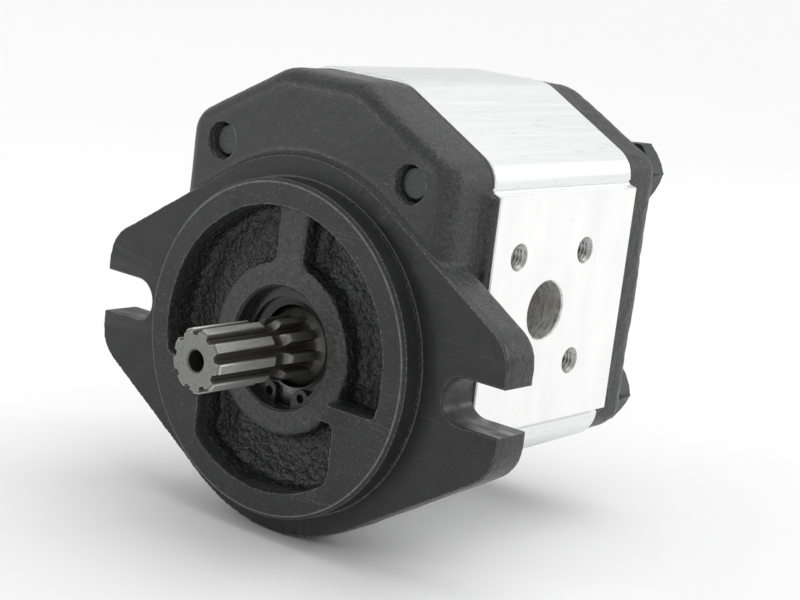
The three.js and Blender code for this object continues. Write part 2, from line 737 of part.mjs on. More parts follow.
// An internal retaining ring, thinner towards its gap, with two eyes for the pliers.
function circlip() {
  const fromY = CIRCLIP_Y;
  const toY = CIRCLIP_Y + CIRCLIP_THICKNESS;
  const outerR = CIRCLIP_GROOVE_R - FIT_GAP;
  const innerR = 12.75;
  const innerCentreZ = -0.35; // makes the hoop thinner towards its gap
  const eyeR = 2.3;
  const eyeHoleR = 1.1;
  const eyeCentreR = 12.9;
  const eyeAngles = [-65, -111].map(radians);
  const gapHalfWidth = 2.6;
  const hoop = cut(
    bar(outerR, fromY, toY, FINE),
    bar(innerR, fromY - PAST, toY + PAST, FINE, 0, innerCentreZ),
  );
  const gap = block([-gapHalfWidth, fromY - PAST, -outerR - PAST], [gapHalfWidth, toY + PAST, 0]);
  const eyes = eyeAngles.map((a) =>
    bar(eyeR, fromY, toY, SMALL, eyeCentreR * Math.cos(a), eyeCentreR * Math.sin(a)),
  );
  const holes = eyeAngles.map((a) =>
    bar(eyeHoleR, fromY - PAST, toY + PAST, SMALL, eyeCentreR * Math.cos(a), eyeCentreR * Math.sin(a)),
  );
  return cut(join(hoop, ...eyes), gap, ...holes);
}

// ---- Screws and dowels --------------------------------------------------------------------

function hexBolt({ x, z, turn }) {
  const seatY = REAR_BACK_Y + JOINT_GAP;
  const endY = seatY - BOLT_LENGTH;
  const threadY = endY + BOLT_THREAD_LENGTH;
  const backY = seatY + BOLT_HEAD_HEIGHT;
  const leadIn = 0.6;
  const crownDrop = 1.1;
  const flatR = BOLT_HEAD_CORNER_R * Math.cos(Math.PI / 6);
  const shank = turned(
    [
      [endY, 0],
      [endY, BOLT_THREAD_R - leadIn],
      [endY + leadIn, BOLT_THREAD_R],
      [threadY, BOLT_THREAD_R],
      [threadY + 0.7, BOLT_SHANK_R],
      [seatY + PAST, BOLT_SHANK_R],
      [seatY + PAST, 0],
    ],
    SMALL,
    x,
    z,
  );
  const corners = [];
  for (let i = 0; i < 6; i += 1) {
    const a = radians(turn) + (i * Math.PI) / 3;
    corners.push(
      new THREE.Vector2(x + BOLT_HEAD_CORNER_R * Math.cos(a), z + BOLT_HEAD_CORNER_R * Math.sin(a)),
    );
  }
  const hexagon = plate(new THREE.Shape(corners), seatY, backY, 1);
  const crown = turned(
    [
      [seatY - PAST, 0],
      [seatY - PAST, BOLT_HEAD_CORNER_R + PAST],
      [backY - crownDrop, BOLT_HEAD_CORNER_R + PAST],
      [backY, flatR - 0.3],
      [backY, 0],
    ],
    SMALL,
    x,
    z,
  );
  return join(shank, hexagon.intersect(crown));
}

function dowel(jointY, x) {
  const half = DOWEL_LENGTH / 2;
  const chamfer = 0.5;
  const end = DOWEL_R - chamfer;
  return turned(
    [
      [jointY - half, 0],
      [jointY - half, end],
      [jointY - half + chamfer, DOWEL_R],
      [jointY + half - chamfer, DOWEL_R],
      [jointY + half, end],
      [jointY + half, 0],
    ],
    SMALL,
    x,
    MID_Z,
  );
}

// ---- Assembly -----------------------------------------------------------------------------

function meshOf(name, solid, look) {
  const { numProp, vertProperties, triVerts } = solid.getMesh();
  const position = new Float32Array((vertProperties.length / numProp) * 3);
  for (let i = 0; i < position.length / 3; i += 1) {
    position.set(vertProperties.subarray(i * numProp, i * numProp + 3), i * 3);
  }
  const geometry = new THREE.BufferGeometry();
  geometry.setAttribute("position", new THREE.BufferAttribute(position, 3));
  geometry.setIndex(new THREE.BufferAttribute(triVerts, 1));
  geometry.computeVertexNormals();
  const mesh = new THREE.Mesh(geometry, look());
  mesh.name = name;
  return mesh;
}

function housingGroup() {
  const group = new THREE.Group();
  const gearFront = GEAR_FRONT_Y - SIDE_CLEARANCE;
  const gearRear = GEAR_REAR_Y + SIDE_CLEARANCE;
  group.add(
    meshOf("front_cover", frontCover(), looks.iron),
    meshOf("pump_body", pumpBody(), looks.aluminium),
    meshOf("rear_cover", rearCover(), looks.iron),
    meshOf("front_bearing_block", bearingBlock(FRONT_BLOCK_Y, gearFront), looks.block),
    meshOf("rear_bearing_block", bearingBlock(REAR_BLOCK_Y, gearRear), looks.block),
    meshOf("front_pressure_seal", pressureSeal(FRONT_BLOCK_Y, 1), looks.rubber),
    meshOf("rear_pressure_seal", pressureSeal(REAR_BLOCK_Y, -1), looks.rubber),
    meshOf("front_backup_ring", backupRing(FRONT_BLOCK_Y, 1), looks.polymer),
    meshOf("rear_backup_ring", backupRing(REAR_BLOCK_Y, -1), looks.polymer),
    meshOf("front_body_seal", bodySeal(BODY_FRONT_Y, 1), looks.rubber),
    meshOf("rear_body_seal", bodySeal(BODY_REAR_Y, -1), looks.rubber),
    meshOf("shaft_seal", shaftSeal(), looks.rubber),
    meshOf("shaft_seal_case", shaftSealCase(), looks.steel),
    meshOf("garter_spring", garterSpring(), looks.steel),
    meshOf("circlip", circlip(), looks.ring),
  );
  for (const [shaft, z] of [["drive", 0], ["driven", DRIVEN_Z]]) {
    const front = bearingSleeve(FRONT_BLOCK_Y, gearFront, z);
    const rear = bearingSleeve(gearRear, REAR_BLOCK_Y, z);
    group.add(meshOf(`front_${shaft}_sleeve`, front, looks.bronze));
    group.add(meshOf(`rear_${shaft}_sleeve`, rear, looks.bronze));
  }
  boltPlaces().forEach((place, i) => {
    group.add(meshOf(`hex_bolt_${i + 1}`, hexBolt(place), looks.bolt));
  });
  for (const [end, jointY] of [["front", COVER_DEPTH], ["rear", REAR_FRONT_Y]]) {
    group.add(meshOf(`${end}_dowel_left`, dowel(jointY, -DOWEL_X), looks.steel));
    group.add(meshOf(`${end}_dowel_right`, dowel(jointY, DOWEL_X), looks.steel));
  }
  return group;
}

const pump = new THREE.Group();
pump.add(housingGroup());
pump.add(meshOf("drive_gear_shaft", driveGearShaft(), looks.steel));
const drivenShaft = meshOf("driven_gear_shaft", drivenGearShaft(), looks.steel);
drivenShaft.position.z = DRIVEN_Z;
pump.add(drivenShaft);

export default pump;
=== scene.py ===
"""A hydraulic gear pump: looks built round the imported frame. Shapes are worked out in
millimetres and scaled to metres when a piece is finished."""
import math

import bmesh
import bpy
from mathutils import Matrix, Vector, noise


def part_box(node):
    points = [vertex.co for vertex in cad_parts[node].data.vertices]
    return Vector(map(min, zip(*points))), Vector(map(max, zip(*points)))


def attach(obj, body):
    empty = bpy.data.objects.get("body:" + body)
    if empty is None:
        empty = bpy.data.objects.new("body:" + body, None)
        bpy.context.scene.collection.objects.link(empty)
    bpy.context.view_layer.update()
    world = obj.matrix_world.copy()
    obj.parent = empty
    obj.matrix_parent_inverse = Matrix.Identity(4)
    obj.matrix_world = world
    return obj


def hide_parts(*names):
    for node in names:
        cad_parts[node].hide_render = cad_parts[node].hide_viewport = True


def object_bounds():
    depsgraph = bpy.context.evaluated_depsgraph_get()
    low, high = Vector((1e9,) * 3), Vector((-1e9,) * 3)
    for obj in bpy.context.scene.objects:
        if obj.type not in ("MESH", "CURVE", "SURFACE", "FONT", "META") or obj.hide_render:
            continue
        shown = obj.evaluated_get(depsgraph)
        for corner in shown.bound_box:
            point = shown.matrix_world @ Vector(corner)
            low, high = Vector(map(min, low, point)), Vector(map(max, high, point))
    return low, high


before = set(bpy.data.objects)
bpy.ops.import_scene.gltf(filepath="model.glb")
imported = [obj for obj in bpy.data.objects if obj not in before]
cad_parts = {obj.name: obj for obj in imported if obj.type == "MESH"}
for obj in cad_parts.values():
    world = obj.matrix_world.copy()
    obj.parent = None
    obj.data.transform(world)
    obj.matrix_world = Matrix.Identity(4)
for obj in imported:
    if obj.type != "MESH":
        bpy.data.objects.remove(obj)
cad_low, cad_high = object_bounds()
MM = 0.001

# ---- Driving dimensions, in millimetres ---------------------------------------------------


def box_mm(node):
    low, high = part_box(node)
    return low / MM, high / MM


COVER_LOW, COVER_HIGH = box_mm("front_cover")
BODY_LOW, BODY_HIGH = box_mm("pump_body")
REAR_LOW, REAR_HIGH = box_mm("rear_cover")
SHAFT_LOW, SHAFT_HIGH = box_mm("drive_gear_shaft")
DRIVEN_LOW, DRIVEN_HIGH = box_mm("driven_gear_shaft")
RING_LOW, RING_HIGH = box_mm("circlip")

MID_Z = (BODY_LOW.z + BODY_HIGH.z) / 2
DRIVEN_Z = 2 * MID_Z

PILOT_R = 41.275
PILOT_FACE_Y = COVER_LOW.y
PILOT_CHAMFER = 0.9
FLANGE_R = -COVER_LOW.z
FLANGE_REAR_Y = 11.4
EAR_END_X = COVER_HIGH.x
EAR_CORNER_R = 10
EAR_NORMAL = math.radians(58)
SLOT_CENTRE_X = 53.2
SLOT_HALF_WIDTH = 5.55

HEAD_FRONT_Y = 1.3
HEAD_EDGE_R = 4.6
HEAD_INSET = 0.6
HEAD_BAND_FRONT_Y = 15.8
HEAD_REAR_Y = COVER_HIGH.y
POCKET_OUTER_R = 34.8
POCKET_FLOOR_Y = 2.5
BOSS_R = 21
BOSS_FACE_Y = -3.2
SPOKE_HALF_WIDTH = 4.5
SIDE_POCKET_LOW_Z = -8.6
LOW_POCKET_HALF_WIDTH = 21.8
LOW_POCKET_TOP_Z = -13
SEAL_BORE_R = 15
SEAL_BORE_END_Y = 9
RING_GROOVE_R = 15.75
SHAFT_TUNNEL_R = 10.8

BODY_HALF_WIDTH = 42.5
BODY_HALF_HEIGHT = BODY_HIGH.z - MID_Z
SLANT_NORMAL = math.radians(61.7)
SIDE_CORNER_R = 8
TOP_CORNER_R = 12
PORT_FACE_X = BODY_HIGH.x
PORT_FACE_HALF_HEIGHT = 29.05
PORT_Y = 42
OUTLET_R = 7.25
INLET_R = 10
PORT_SCREW_PITCH = 14.14
PORT_SCREW_DEPTH = 13
PORT_SCREW_RADII = (2.5, 3.0)  # root and crest
PORT_SCREW_LEAD = 1.0
PORT_SCREW_MOUTH = 0.45
PORT_BEVEL = 0.35
PORT_FLOOR_X = 21.5
DRILL_POINT_SLOPE = 0.45
PASSAGE_INNER_X = 6
PASSAGE_HALF_LENGTH = 3.2
PASSAGE_HALF_HEIGHT = 1.7
CHAMBER_R = 18.35
SEAL_GROOVE_RADII = (20.9, 23.1)
SEAL_GROOVE_DEPTH = 1.5

REAR_EDGE_R = 7
REAR_INSET = 1
RELIEF_R = 9
RELIEF_DEPTH = 4

BOLT_X = 29.9
BOLT_HALF_PITCH_Z = 30.1
BOLT_HOLE_R = 5.5
BOLT_SEAT_R = 9.6
BOLT_TURNS = (5, -1, 22, 41)  # degrees
BOLT_LEAD = 1.5
BOLT_THREAD_RADII = (3.75, 4.38)
BOLT_THREAD_LENGTH = 32
BOLT_NECK_R = 4.2
BOLT_SHANK_R = 4.95
HEX_CORNER_R = 8.88
COVER_THREAD_RADII = (4.5, 5.05)

PIN_XS = (-34, 34)
PIN_HOLE_R = 3.05
PIN_HOLE_DEPTH = 6.3

TAU = 2 * math.pi
FINISHES = 4  # material slots of a piece under construction

# ---- Mesh building ------------------------------------------------------------------------


def link(name, data):
    """Puts a new object with this mesh, light or camera in the scene."""
    piece = bpy.data.objects.new(name, data)
    bpy.context.scene.collection.objects.link(piece)
    return piece


def solid(name, vertices, faces):
    mesh = bpy.data.meshes.new(name)
    mesh.from_pydata(vertices, [], faces)
    work = bmesh.new()
    work.from_mesh(mesh)
    caps = [face for face in work.faces if len(face.verts) > 4]
    bmesh.ops.triangulate(work, faces=caps, ngon_method="EAR_CLIP")
    bmesh.ops.recalc_face_normals(work, faces=work.faces)
    work.to_mesh(mesh)
    work.free()
    for _ in range(FINISHES):
        mesh.materials.append(None)
    return link(name, mesh)


def loft(name, rings, closed=False):
    """Skins rings that have the same number of points. The ends are capped, or joined."""
    count = len(rings[0])
    vertices = [point for ring in rings for point in ring]
    faces = []
    spans = len(rings) if closed else len(rings) - 1
    for i in range(spans):
        a = i * count
        b = (i + 1) % len(rings) * count
        for j in range(count):
            k = (j + 1) % count
            faces.append((a + j, a + k, b + k, b + j))
    if not closed:
        faces.append(tuple(range(count)))
        last = (len(rings) - 1) * count
        faces.append(tuple(range(last + count - 1, last - 1, -1)))
    return solid(name, vertices, faces)


def along_y(x, z):
    return lambda s, r, a: (x + r * math.cos(a), s, z + r * math.sin(a))


def along_x(y, z):
    return lambda s, r, a: (s, y + r * math.cos(a), z + r * math.sin(a))


def turned(name, profile, segments=128, place=along_y(0, 0)):
    """A profile of (station, radius) points turned about an axis. A profile that starts and ends
    on the axis is capped, and any other is closed on itself."""
    on_axis = profile[0][1] == 0
    points = profile[1:-1] if on_axis else profile
    angles = [TAU * i / segments for i in range(segments)]
    rings = [[place(s, r, a) for a in angles] for s, r in points]
    return loft(name, rings, closed=not on_axis)


def bar(name, r, start, end, segments=96, place=along_y(0, 0)):
    return turned(name, [(start, 0), (start, r), (end, r), (end, 0)], segments, place)


def block(name, low, high):
    (x0, y0, z0), (x1, y1, z1) = low, high
    rings = [[(x0, y, z0), (x1, y, z0), (x1, y, z1), (x0, y, z1)] for y in (y0, y1)]
    return loft(name, rings)


def bake(piece):
    """Applies the modifiers."""
    shown = bpy.context.evaluated_depsgraph_get()
    old = piece.data
    piece.data = bpy.data.meshes.new_from_object(piece.evaluated_get(shown))
    piece.modifiers.clear()
    bpy.data.meshes.remove(old)
    return piece


def combine(operation, target, *tools):
    for tool in tools:
        step = target.modifiers.new(operation, "BOOLEAN")
        step.operation = operation
        step.solver = "MANIFOLD"
        step.object = tool
    bake(target)
    for tool in tools:
        bpy.data.objects.remove(tool)
    return target


def carve(target, *tools):
    return combine("DIFFERENCE", target, *tools)


def join(target, *tools):
    return combine("UNION", target, *tools)


def keep(target, *tools):
    return combine("INTERSECT", target, *tools)


def mark(piece, index):
    """Gives every face of a cutter the material slot that its cuts take."""
    for face in piece.data.polygons:
        face.material_index = index
    return piece


def soften(piece, voxel, rounds):
    """Rounds every edge as a mould does: the solid is remeshed and smoothed."""
    step = piece.modifiers.new("grid", "REMESH")
    step.mode = "VOXEL"
    step.voxel_size = voxel
    step = piece.modifiers.new("round", "SMOOTH")
    step.factor = 0.5
    step.iterations = rounds
    return bake(piece)


def bevel_edges(piece, width):
    """Adds a modifier that breaks the sharp edges."""
    step = piece.modifiers.new("edges", "BEVEL")
    step.width = width
    step.segments = 2
    step.limit_method = "ANGLE"
    step.angle_limit = math.radians(40)
    return step


def roughen(piece, layers, seed, strength_at=lambda place: 1.0):
    """Moves each point along its normal by layers of (wavelength, height) noise, times the
    strength at that point."""
    mesh = piece.data
    shift = Vector((seed * 7.3, seed * 3.1, seed * 5.7))
    normals = [v.normal.copy() for v in mesh.vertices]
    for vertex, normal in zip(mesh.vertices, normals):
        place = vertex.co.copy()
        strength = strength_at(place)
        for wavelength, height in layers:
            vertex.co += normal * (strength * height * noise.noise(place / wavelength + shift))
    mesh.update()
    return piece


def finished(piece, body, nodes, materials, crease=32):
    """Scales a piece to metres, shades it and hands it to the frame."""
    mesh = piece.data
    cleaned = bmesh.new()
    cleaned.from_mesh(mesh)
    bmesh.ops.dissolve_degenerate(cleaned, dist=0.001, edges=cleaned.edges[:])
    cleaned.to_mesh(mesh)
    cleaned.free()
    mesh.transform(Matrix.Scale(MM, 4))
    mesh.shade_smooth()
    mesh.set_sharp_from_angle(angle=math.radians(crease))
    indices = [face.material_index for face in mesh.polygons]
    mesh.materials.clear()
    for look in materials:
        mesh.materials.append(look)
    last = len(materials) - 1
    mesh.polygons.foreach_set("material_index", [min(i, last) for i in indices])
    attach(piece, body)
    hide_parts(*nodes)
    return piece


# ---- Outlines in X and Z ------------------------------------------------------------------


def arc(cx, cz, r, start, end, steps=12):
    angles = [start + (end - start) * i / steps for i in range(steps + 1)]
    return [(cx + r * math.cos(a), cz + r * math.sin(a)) for a in angles]


def flange_outline(inset=0.0):
    corner_x = EAR_END_X - EAR_CORNER_R
    reach = FLANGE_R - EAR_CORNER_R - corner_x * math.cos(EAR_NORMAL)
    corner_z = reach / math.sin(EAR_NORMAL)
    small = EAR_CORNER_R - inset
    large = FLANGE_R - inset
    n = EAR_NORMAL
    return (
        arc(corner_x, corner_z, small, 0, n)
        + arc(0, 0, large, n, math.pi - n, 32)
        + arc(-corner_x, corner_z, small, math.pi - n, math.pi)
        + arc(-corner_x, -corner_z, small, math.pi, math.pi + n)
        + arc(0, 0, large, math.pi + n, TAU - n, 32)
        + arc(corner_x, -corner_z, small, TAU - n, TAU)
    )


def body_outline(inset=0.0, bands=False):
    """The eight-sided section about mid height, drawn in by an inset, with or without the raised
    bands of the port faces."""
    n = SLANT_NORMAL
    side_x = BODY_HALF_WIDTH - SIDE_CORNER_R
    side_z = (BODY_HALF_HEIGHT - SIDE_CORNER_R - side_x * math.cos(n)) / math.sin(n)
    top_z = BODY_HALF_HEIGHT - TOP_CORNER_R
    top_x = (BODY_HALF_HEIGHT - TOP_CORNER_R - top_z * math.sin(n)) / math.cos(n)
    side_r = SIDE_CORNER_R - inset
    top_r = TOP_CORNER_R - inset
    right = arc(side_x, side_z, side_r, 0, n) + arc(top_x, top_z, top_r, n, math.pi / 2)
    if bands:
        edge = PORT_FACE_HALF_HEIGHT
        wall = BODY_HALF_WIDTH - inset
        face = PORT_FACE_X - inset
        right = [
            (face, edge - inset),
            (wall + 0.5, edge + 0.45 - inset / 2),
            (wall + 0.15, edge + 0.55 - inset / 2),
            (wall, edge + 0.8),
            (wall - 0.35, edge + 1.15),
            (wall - 0.35, edge + 1.5),
            (wall, edge + 1.85),
        ] + right
    top = right + [(-x, z) for x, z in reversed(right)]
    whole = top + [(x, -z) for x, z in reversed(top)]
    return [(x, MID_Z + z) for x, z in whole]


def lifted(outline, y):
    return [(x, y, z) for x, z in outline]


def rounded_plate(name, outline_at, start, end, start_r=0.0, end_r=0.0, steps=8):
    """A plate whose front and rear edges are rounded. outline_at gives the outline for an inset."""

    def edge(face, r, way):
        """Rings from a face inward to where the outline is full."""
        turns = [math.pi / 2 * i / steps for i in range(steps if r else 0)]
        places = [(r * (1 - math.sin(a)), face + way * r * (1 - math.cos(a))) for a in turns]
        return [lifted(outline_at(inset), y) for inset, y in places + [(0, face + way * r)]]

    return loft(name, edge(start, start_r, 1) + edge(end, end_r, -1)[::-1])


# ---- Screw threads ------------------------------------------------------------------------


def ridge(turns):
    """A thread's section over one turn: 0 in the root and 1 at the crest."""
    f = turns - math.floor(turns)
    return min(1, max(0, 1.15 - 1.3 * abs(2 * f - 1)))


def threaded(name, limits, radii, pitch, place, mouth=0.0, segments=32):
    """A screw-shaped bar from one station to another. A positive mouth flares its first end, as a
    countersink does, and a negative one chamfers it."""
    start, end = limits
    minor, major = radii
    way = 1 if end > start else -1
    length = abs(end - start)
    steps = max(8, int(length / pitch * 8))
    rings = []
    for i in range(steps + 1):
        depth = length * i / steps
        ring = []
        for j in range(segments):
            a = TAU * j / segments
            r = minor + (major - minor) * ridge(depth / pitch - j / segments)
            if mouth > 0:
                r = max(r, major + mouth - depth)
            if mouth < 0:
                r = min(r, major + mouth + depth)
            ring.append(place(start + way * depth, r, a))
        rings.append(ring)
    return loft(name, rings)


# ---- Castings -----------------------------------------------------------------------------

MACHINED, MILLED_SLOT = 1, 2  # the casting's own skin is 0
PAST = 30  # how far a cutter runs past the surface that it opens
OVERRUN = 5  # the same, for a cutter through one casting
OUTSIDE = 90  # half the width of a cutter that faces a whole casting
FRONT_SKIN = [(12, 0.16), (3.2, 0.06), (1.7, 0.05)]
REAR_SKIN = [(14, 0.36), (3.4, 0.14), (1.8, 0.1)]

BOLT_PLACES = [
    (BOLT_X, MID_Z + BOLT_HALF_PITCH_Z),
    (BOLT_X, MID_Z - BOLT_HALF_PITCH_Z),
    (-BOLT_X, MID_Z - BOLT_HALF_PITCH_Z),
    (-BOLT_X, MID_Z + BOLT_HALF_PITCH_Z),
]


def slab(start, end):
    """Cuts everything between two stations away."""
    return block("slab", (-OUTSIDE, start, -OUTSIDE), (OUTSIDE, end, OUTSIDE))


def pin_hole(x, start, end):
    return bar("pin", PIN_HOLE_R, start, end, 48, along_y(x, MID_Z))


def pocket(name, low_x, high_x, low_z, high_z):
    """A cored pocket of the spigot: the part of the ring between boss and rim inside a box."""
    front = PILOT_FACE_Y - 6
    profile = [
        (front, BOSS_R - 0.6),
        (POCKET_FLOOR_Y, BOSS_R + 0.6),
        (POCKET_FLOOR_Y, POCKET_OUTER_R - 0.5),
        (front, POCKET_OUTER_R + 0.3),
    ]
    ring = turned(name, profile)
    window = block("window", (low_x, front - 1, low_z), (high_x, POCKET_FLOOR_Y + 1, high_z))
    keep(ring, window)
    return soften(ring, voxel=0.7, rounds=14)


def cover_blank():
    blank = rounded_plate(
        "front_casting", flange_outline, -0.3, FLANGE_REAR_Y, start_r=0.5, end_r=0.9, steps=3
    )
    head = rounded_plate(
        "head",
        lambda inset: body_outline(HEAD_INSET + inset),
        HEAD_FRONT_Y,
        HEAD_REAR_Y + 1,
        start_r=HEAD_EDGE_R,
    )
    band = rounded_plate(
        "band",
        lambda inset: body_outline(HEAD_INSET + inset, bands=True),
        HEAD_BAND_FRONT_Y,
        HEAD_REAR_Y + 1,
        start_r=1.0,
        steps=3,
    )
    spigot = bar("spigot", PILOT_R + 0.4, PILOT_FACE_Y - 0.4, 2, 160)
    join(blank, head, band, spigot)
    reach = POCKET_OUTER_R + 1
    side = (SPOKE_HALF_WIDTH, reach, SIDE_POCKET_LOW_Z, reach)
    low = (-LOW_POCKET_HALF_WIDTH, LOW_POCKET_HALF_WIDTH, -reach, LOW_POCKET_TOP_Z)
    carve(
        blank,
        pocket("pocket_right", *side),
        pocket("pocket_left", -side[1], -side[0], side[2], side[3]),
        pocket("pocket_low", *low),
    )
    front = PILOT_FACE_Y - 3
    spoke = block(
        "spoke",
        (-SPOKE_HALF_WIDTH - 3, front, 5),
        (SPOKE_HALF_WIDTH + 3, BOSS_FACE_Y, POCKET_OUTER_R + 2),
    )
    rim = bar("rim", POCKET_OUTER_R, front - 1, BOSS_FACE_Y + 1)
    carve(blank, bar("recess", BOSS_R + 0.2, front, BOSS_FACE_Y), keep(spoke, rim))
    return blank


def ear_slot(side):
    """A slot from the mounting screw's centre out through the ear, with broken edges."""
    break_edge = 0.3
    rings = []
    front, rear = -0.001, FLANGE_REAR_Y + 0.001
    for y, grow in (
        (front - 2, break_edge + 2),
        (front + break_edge, 0),
        (rear - break_edge, 0),
        (rear + 2, break_edge + 2),
    ):
        r = SLOT_HALF_WIDTH + grow
        end = arc(SLOT_CENTRE_X, 0, r, math.pi / 2, 1.5 * math.pi, 24)
        outline = [(EAR_END_X + PAST, r)] + end + [(EAR_END_X + PAST, -r)]
        rings.append([(side * x, y, z) for x, z in outline])
    return loft("slot", rings)


def core_sand(place):
    """Cored pockets come out rougher than the rest of the casting."""
    in_pocket = place.y > BOSS_FACE_Y + 0.5 and math.hypot(place.x, place.z) < POCKET_OUTER_R + 1
    return 3.4 if in_pocket else 1.0


def front_casting():
    blank = cover_blank()
    soften(blank, voxel=0.7, rounds=3)
    roughen(blank, FRONT_SKIN, 1, core_sand)
    edge_r = PILOT_R - PILOT_CHAMFER
    turning = turned(
        "turning",
        [
            (-PAST, OUTSIDE),
            (0, OUTSIDE),
            (0, PILOT_R),
            (0.25, PILOT_R - 0.1),
            (0.25, PILOT_R - 0.45),
            (-0.5, PILOT_R - 0.45),
            (-0.75, PILOT_R),
            (PILOT_FACE_Y + PILOT_CHAMFER, PILOT_R),
            (PILOT_FACE_Y, edge_r),
            (PILOT_FACE_Y - 5, edge_r - 5),
            (-PAST, edge_r - 5),
        ],
        192,
    )
    facing = slab(-PAST, PILOT_FACE_Y)
    groove_front, groove_rear = RING_LOW.y - 0.1, RING_HIGH.y + 0.1
    mouth = SEAL_BORE_R + 0.55
    bore = turned(
        "bore",
        [
            (-PAST, 0),
            (-PAST, mouth),
            (BOSS_FACE_Y, mouth),
            (BOSS_FACE_Y + 0.55, SEAL_BORE_R),
            (groove_front, SEAL_BORE_R),
            (groove_front, RING_GROOVE_R),
            (groove_rear, RING_GROOVE_R),
            (groove_rear, SEAL_BORE_R),
            (SEAL_BORE_END_Y, SEAL_BORE_R),
            (SEAL_BORE_END_Y, SHAFT_TUNNEL_R),
            (PAST, SHAFT_TUNNEL_R),
            (PAST, 0),
        ],
        160,
    )
    joint = slab(HEAD_REAR_Y, PAST + 10)
    holes = []
    for x, z in BOLT_PLACES:
        place = along_y(x, z)
        limits = (-2, PAST)
        hole = threaded("hole", limits, COVER_THREAD_RADII, BOLT_LEAD, place, segments=40)
        holes.append(hole)
    holes += [pin_hole(x, HEAD_REAR_Y - PIN_HOLE_DEPTH, PAST) for x in PIN_XS]
    for cutter in (turning, facing, bore, joint, *holes):
        mark(cutter, MACHINED)
    slots = [mark(ear_slot(side), MILLED_SLOT) for side in (1, -1)]
    carve(blank, turning, facing, bore, joint, *slots, *holes)
    return blank


def rear_casting():
    blank = rounded_plate(
        "rear_casting",
        lambda inset: body_outline(REAR_INSET + inset),
        REAR_LOW.y - 1,
        REAR_HIGH.y + 0.15,
        end_r=REAR_EDGE_R,
    )
    soften(blank, voxel=0.8, rounds=6)
    roughen(blank, REAR_SKIN, 2)
    joint, back = REAR_LOW.y, REAR_HIGH.y
    before, behind = joint - OVERRUN, back + OVERRUN
    cutters = [slab(-PAST, joint)]
    for x, z in BOLT_PLACES:
        place = along_y(x, z)
        cutters.append(bar("hole", BOLT_HOLE_R, before, behind, 64, place))
        cutters.append(bar("seat", BOLT_SEAT_R, back - 0.02, behind, 96, place))
    for z in (0, DRIVEN_Z):
        cutters.append(bar("relief", RELIEF_R, before, joint + RELIEF_DEPTH, 96, along_y(0, z)))
    cutters += [pin_hole(x, before, joint + PIN_HOLE_DEPTH) for x in PIN_XS]
    for cutter in cutters:
        mark(cutter, MACHINED)
    carve(blank, *cutters)
    return blank


# ---- Pump body ----------------------------------------------------------------------------

EXTRUDED, MILLED, BORED, TAPPED = 0, 1, 2, 3


def port_cutters(side, radius):
    """A port with a drill-point floor and a passage to the gears, and its four screw holes."""
    face = PORT_FACE_X
    floor = PORT_FLOOR_X
    depth = radius * DRILL_POINT_SLOPE
    profile = [
        (face + 3, 0),
        (face + 3, radius + PORT_BEVEL),
        (face, radius + PORT_BEVEL),
        (face - PORT_BEVEL, radius),
        (floor, radius),
        (floor - depth, 0.3),
        (floor - depth, 0),
    ]
    place = along_x(PORT_Y, MID_Z)
    port = turned("port", [(side * s, r) for s, r in profile], 128, place)
    low_x, high_x = sorted((side * PASSAGE_INNER_X, side * (floor + 0.5)))
    passage = block(
        "passage",
        (low_x, PORT_Y - PASSAGE_HALF_LENGTH, MID_Z - PASSAGE_HALF_HEIGHT),
        (high_x, PORT_Y + PASSAGE_HALF_LENGTH, MID_Z + PASSAGE_HALF_HEIGHT),
    )
    cutters = [mark(port, BORED), mark(passage, BORED)]
    for dy in (-PORT_SCREW_PITCH, PORT_SCREW_PITCH):
        for dz in (-PORT_SCREW_PITCH, PORT_SCREW_PITCH):
            place = along_x(PORT_Y + dy, MID_Z + dz)
            limits = (side * (face + 0.05), side * (face - PORT_SCREW_DEPTH))
            hole = threaded(
                "hole", limits, PORT_SCREW_RADII, PORT_SCREW_LEAD, place, PORT_SCREW_MOUTH
            )
            cutters.append(mark(hole, TAPPED))
    return cutters


def body_extrusion():
    bevel = 0.3
    front, rear = BODY_LOW.y, BODY_HIGH.y
    rings = [
        lifted(body_outline(bevel, True), front),
        lifted(body_outline(0, True), front + bevel),
        lifted(body_outline(0, True), rear - bevel),
        lifted(body_outline(bevel, True), rear),
    ]
    body = loft("body_extrusion", rings)
    cutters = port_cutters(1, OUTLET_R) + port_cutters(-1, INLET_R)
    before, behind = front - OVERRUN, rear + OVERRUN
    bores = [bar("chamber", CHAMBER_R, before, behind, 160, along_y(0, z)) for z in (0, DRIVEN_Z)]
    bores += [bar("hole", BOLT_HOLE_R, before, behind, 64, along_y(x, z)) for x, z in BOLT_PLACES]
    for x in PIN_XS:
        bores.append(pin_hole(x, before, front + PIN_HOLE_DEPTH))
        bores.append(pin_hole(x, rear - PIN_HOLE_DEPTH, behind))
    bores.append(stadium_ring("groove", *SEAL_GROOVE_RADII, before, front + SEAL_GROOVE_DEPTH))
    bores.append(stadium_ring("groove", *SEAL_GROOVE_RADII, rear - SEAL_GROOVE_DEPTH, behind))
    carve(body, *cutters, *[mark(bore, BORED) for bore in bores])
    for face in body.data.polygons:
        if face.material_index == EXTRUDED and abs(abs(face.center.x) - PORT_FACE_X) < 0.05:
            face.material_index = MILLED
    return body


def stadium(r):
    """The outline round both gear axes at a distance."""
    return arc(0, DRIVEN_Z, r, 0, math.pi, 48) + arc(0, 0, r, math.pi, TAU, 48)


def stadium_ring(name, inner, outer, start, end):
    rings = [
        lifted(stadium(inner), start),
        lifted(stadium(outer), start),
        lifted(stadium(outer), end),
        lifted(stadium(inner), end),
    ]
    return loft(name, rings, closed=True)


# ---- Shafts -------------------------------------------------------------------------------


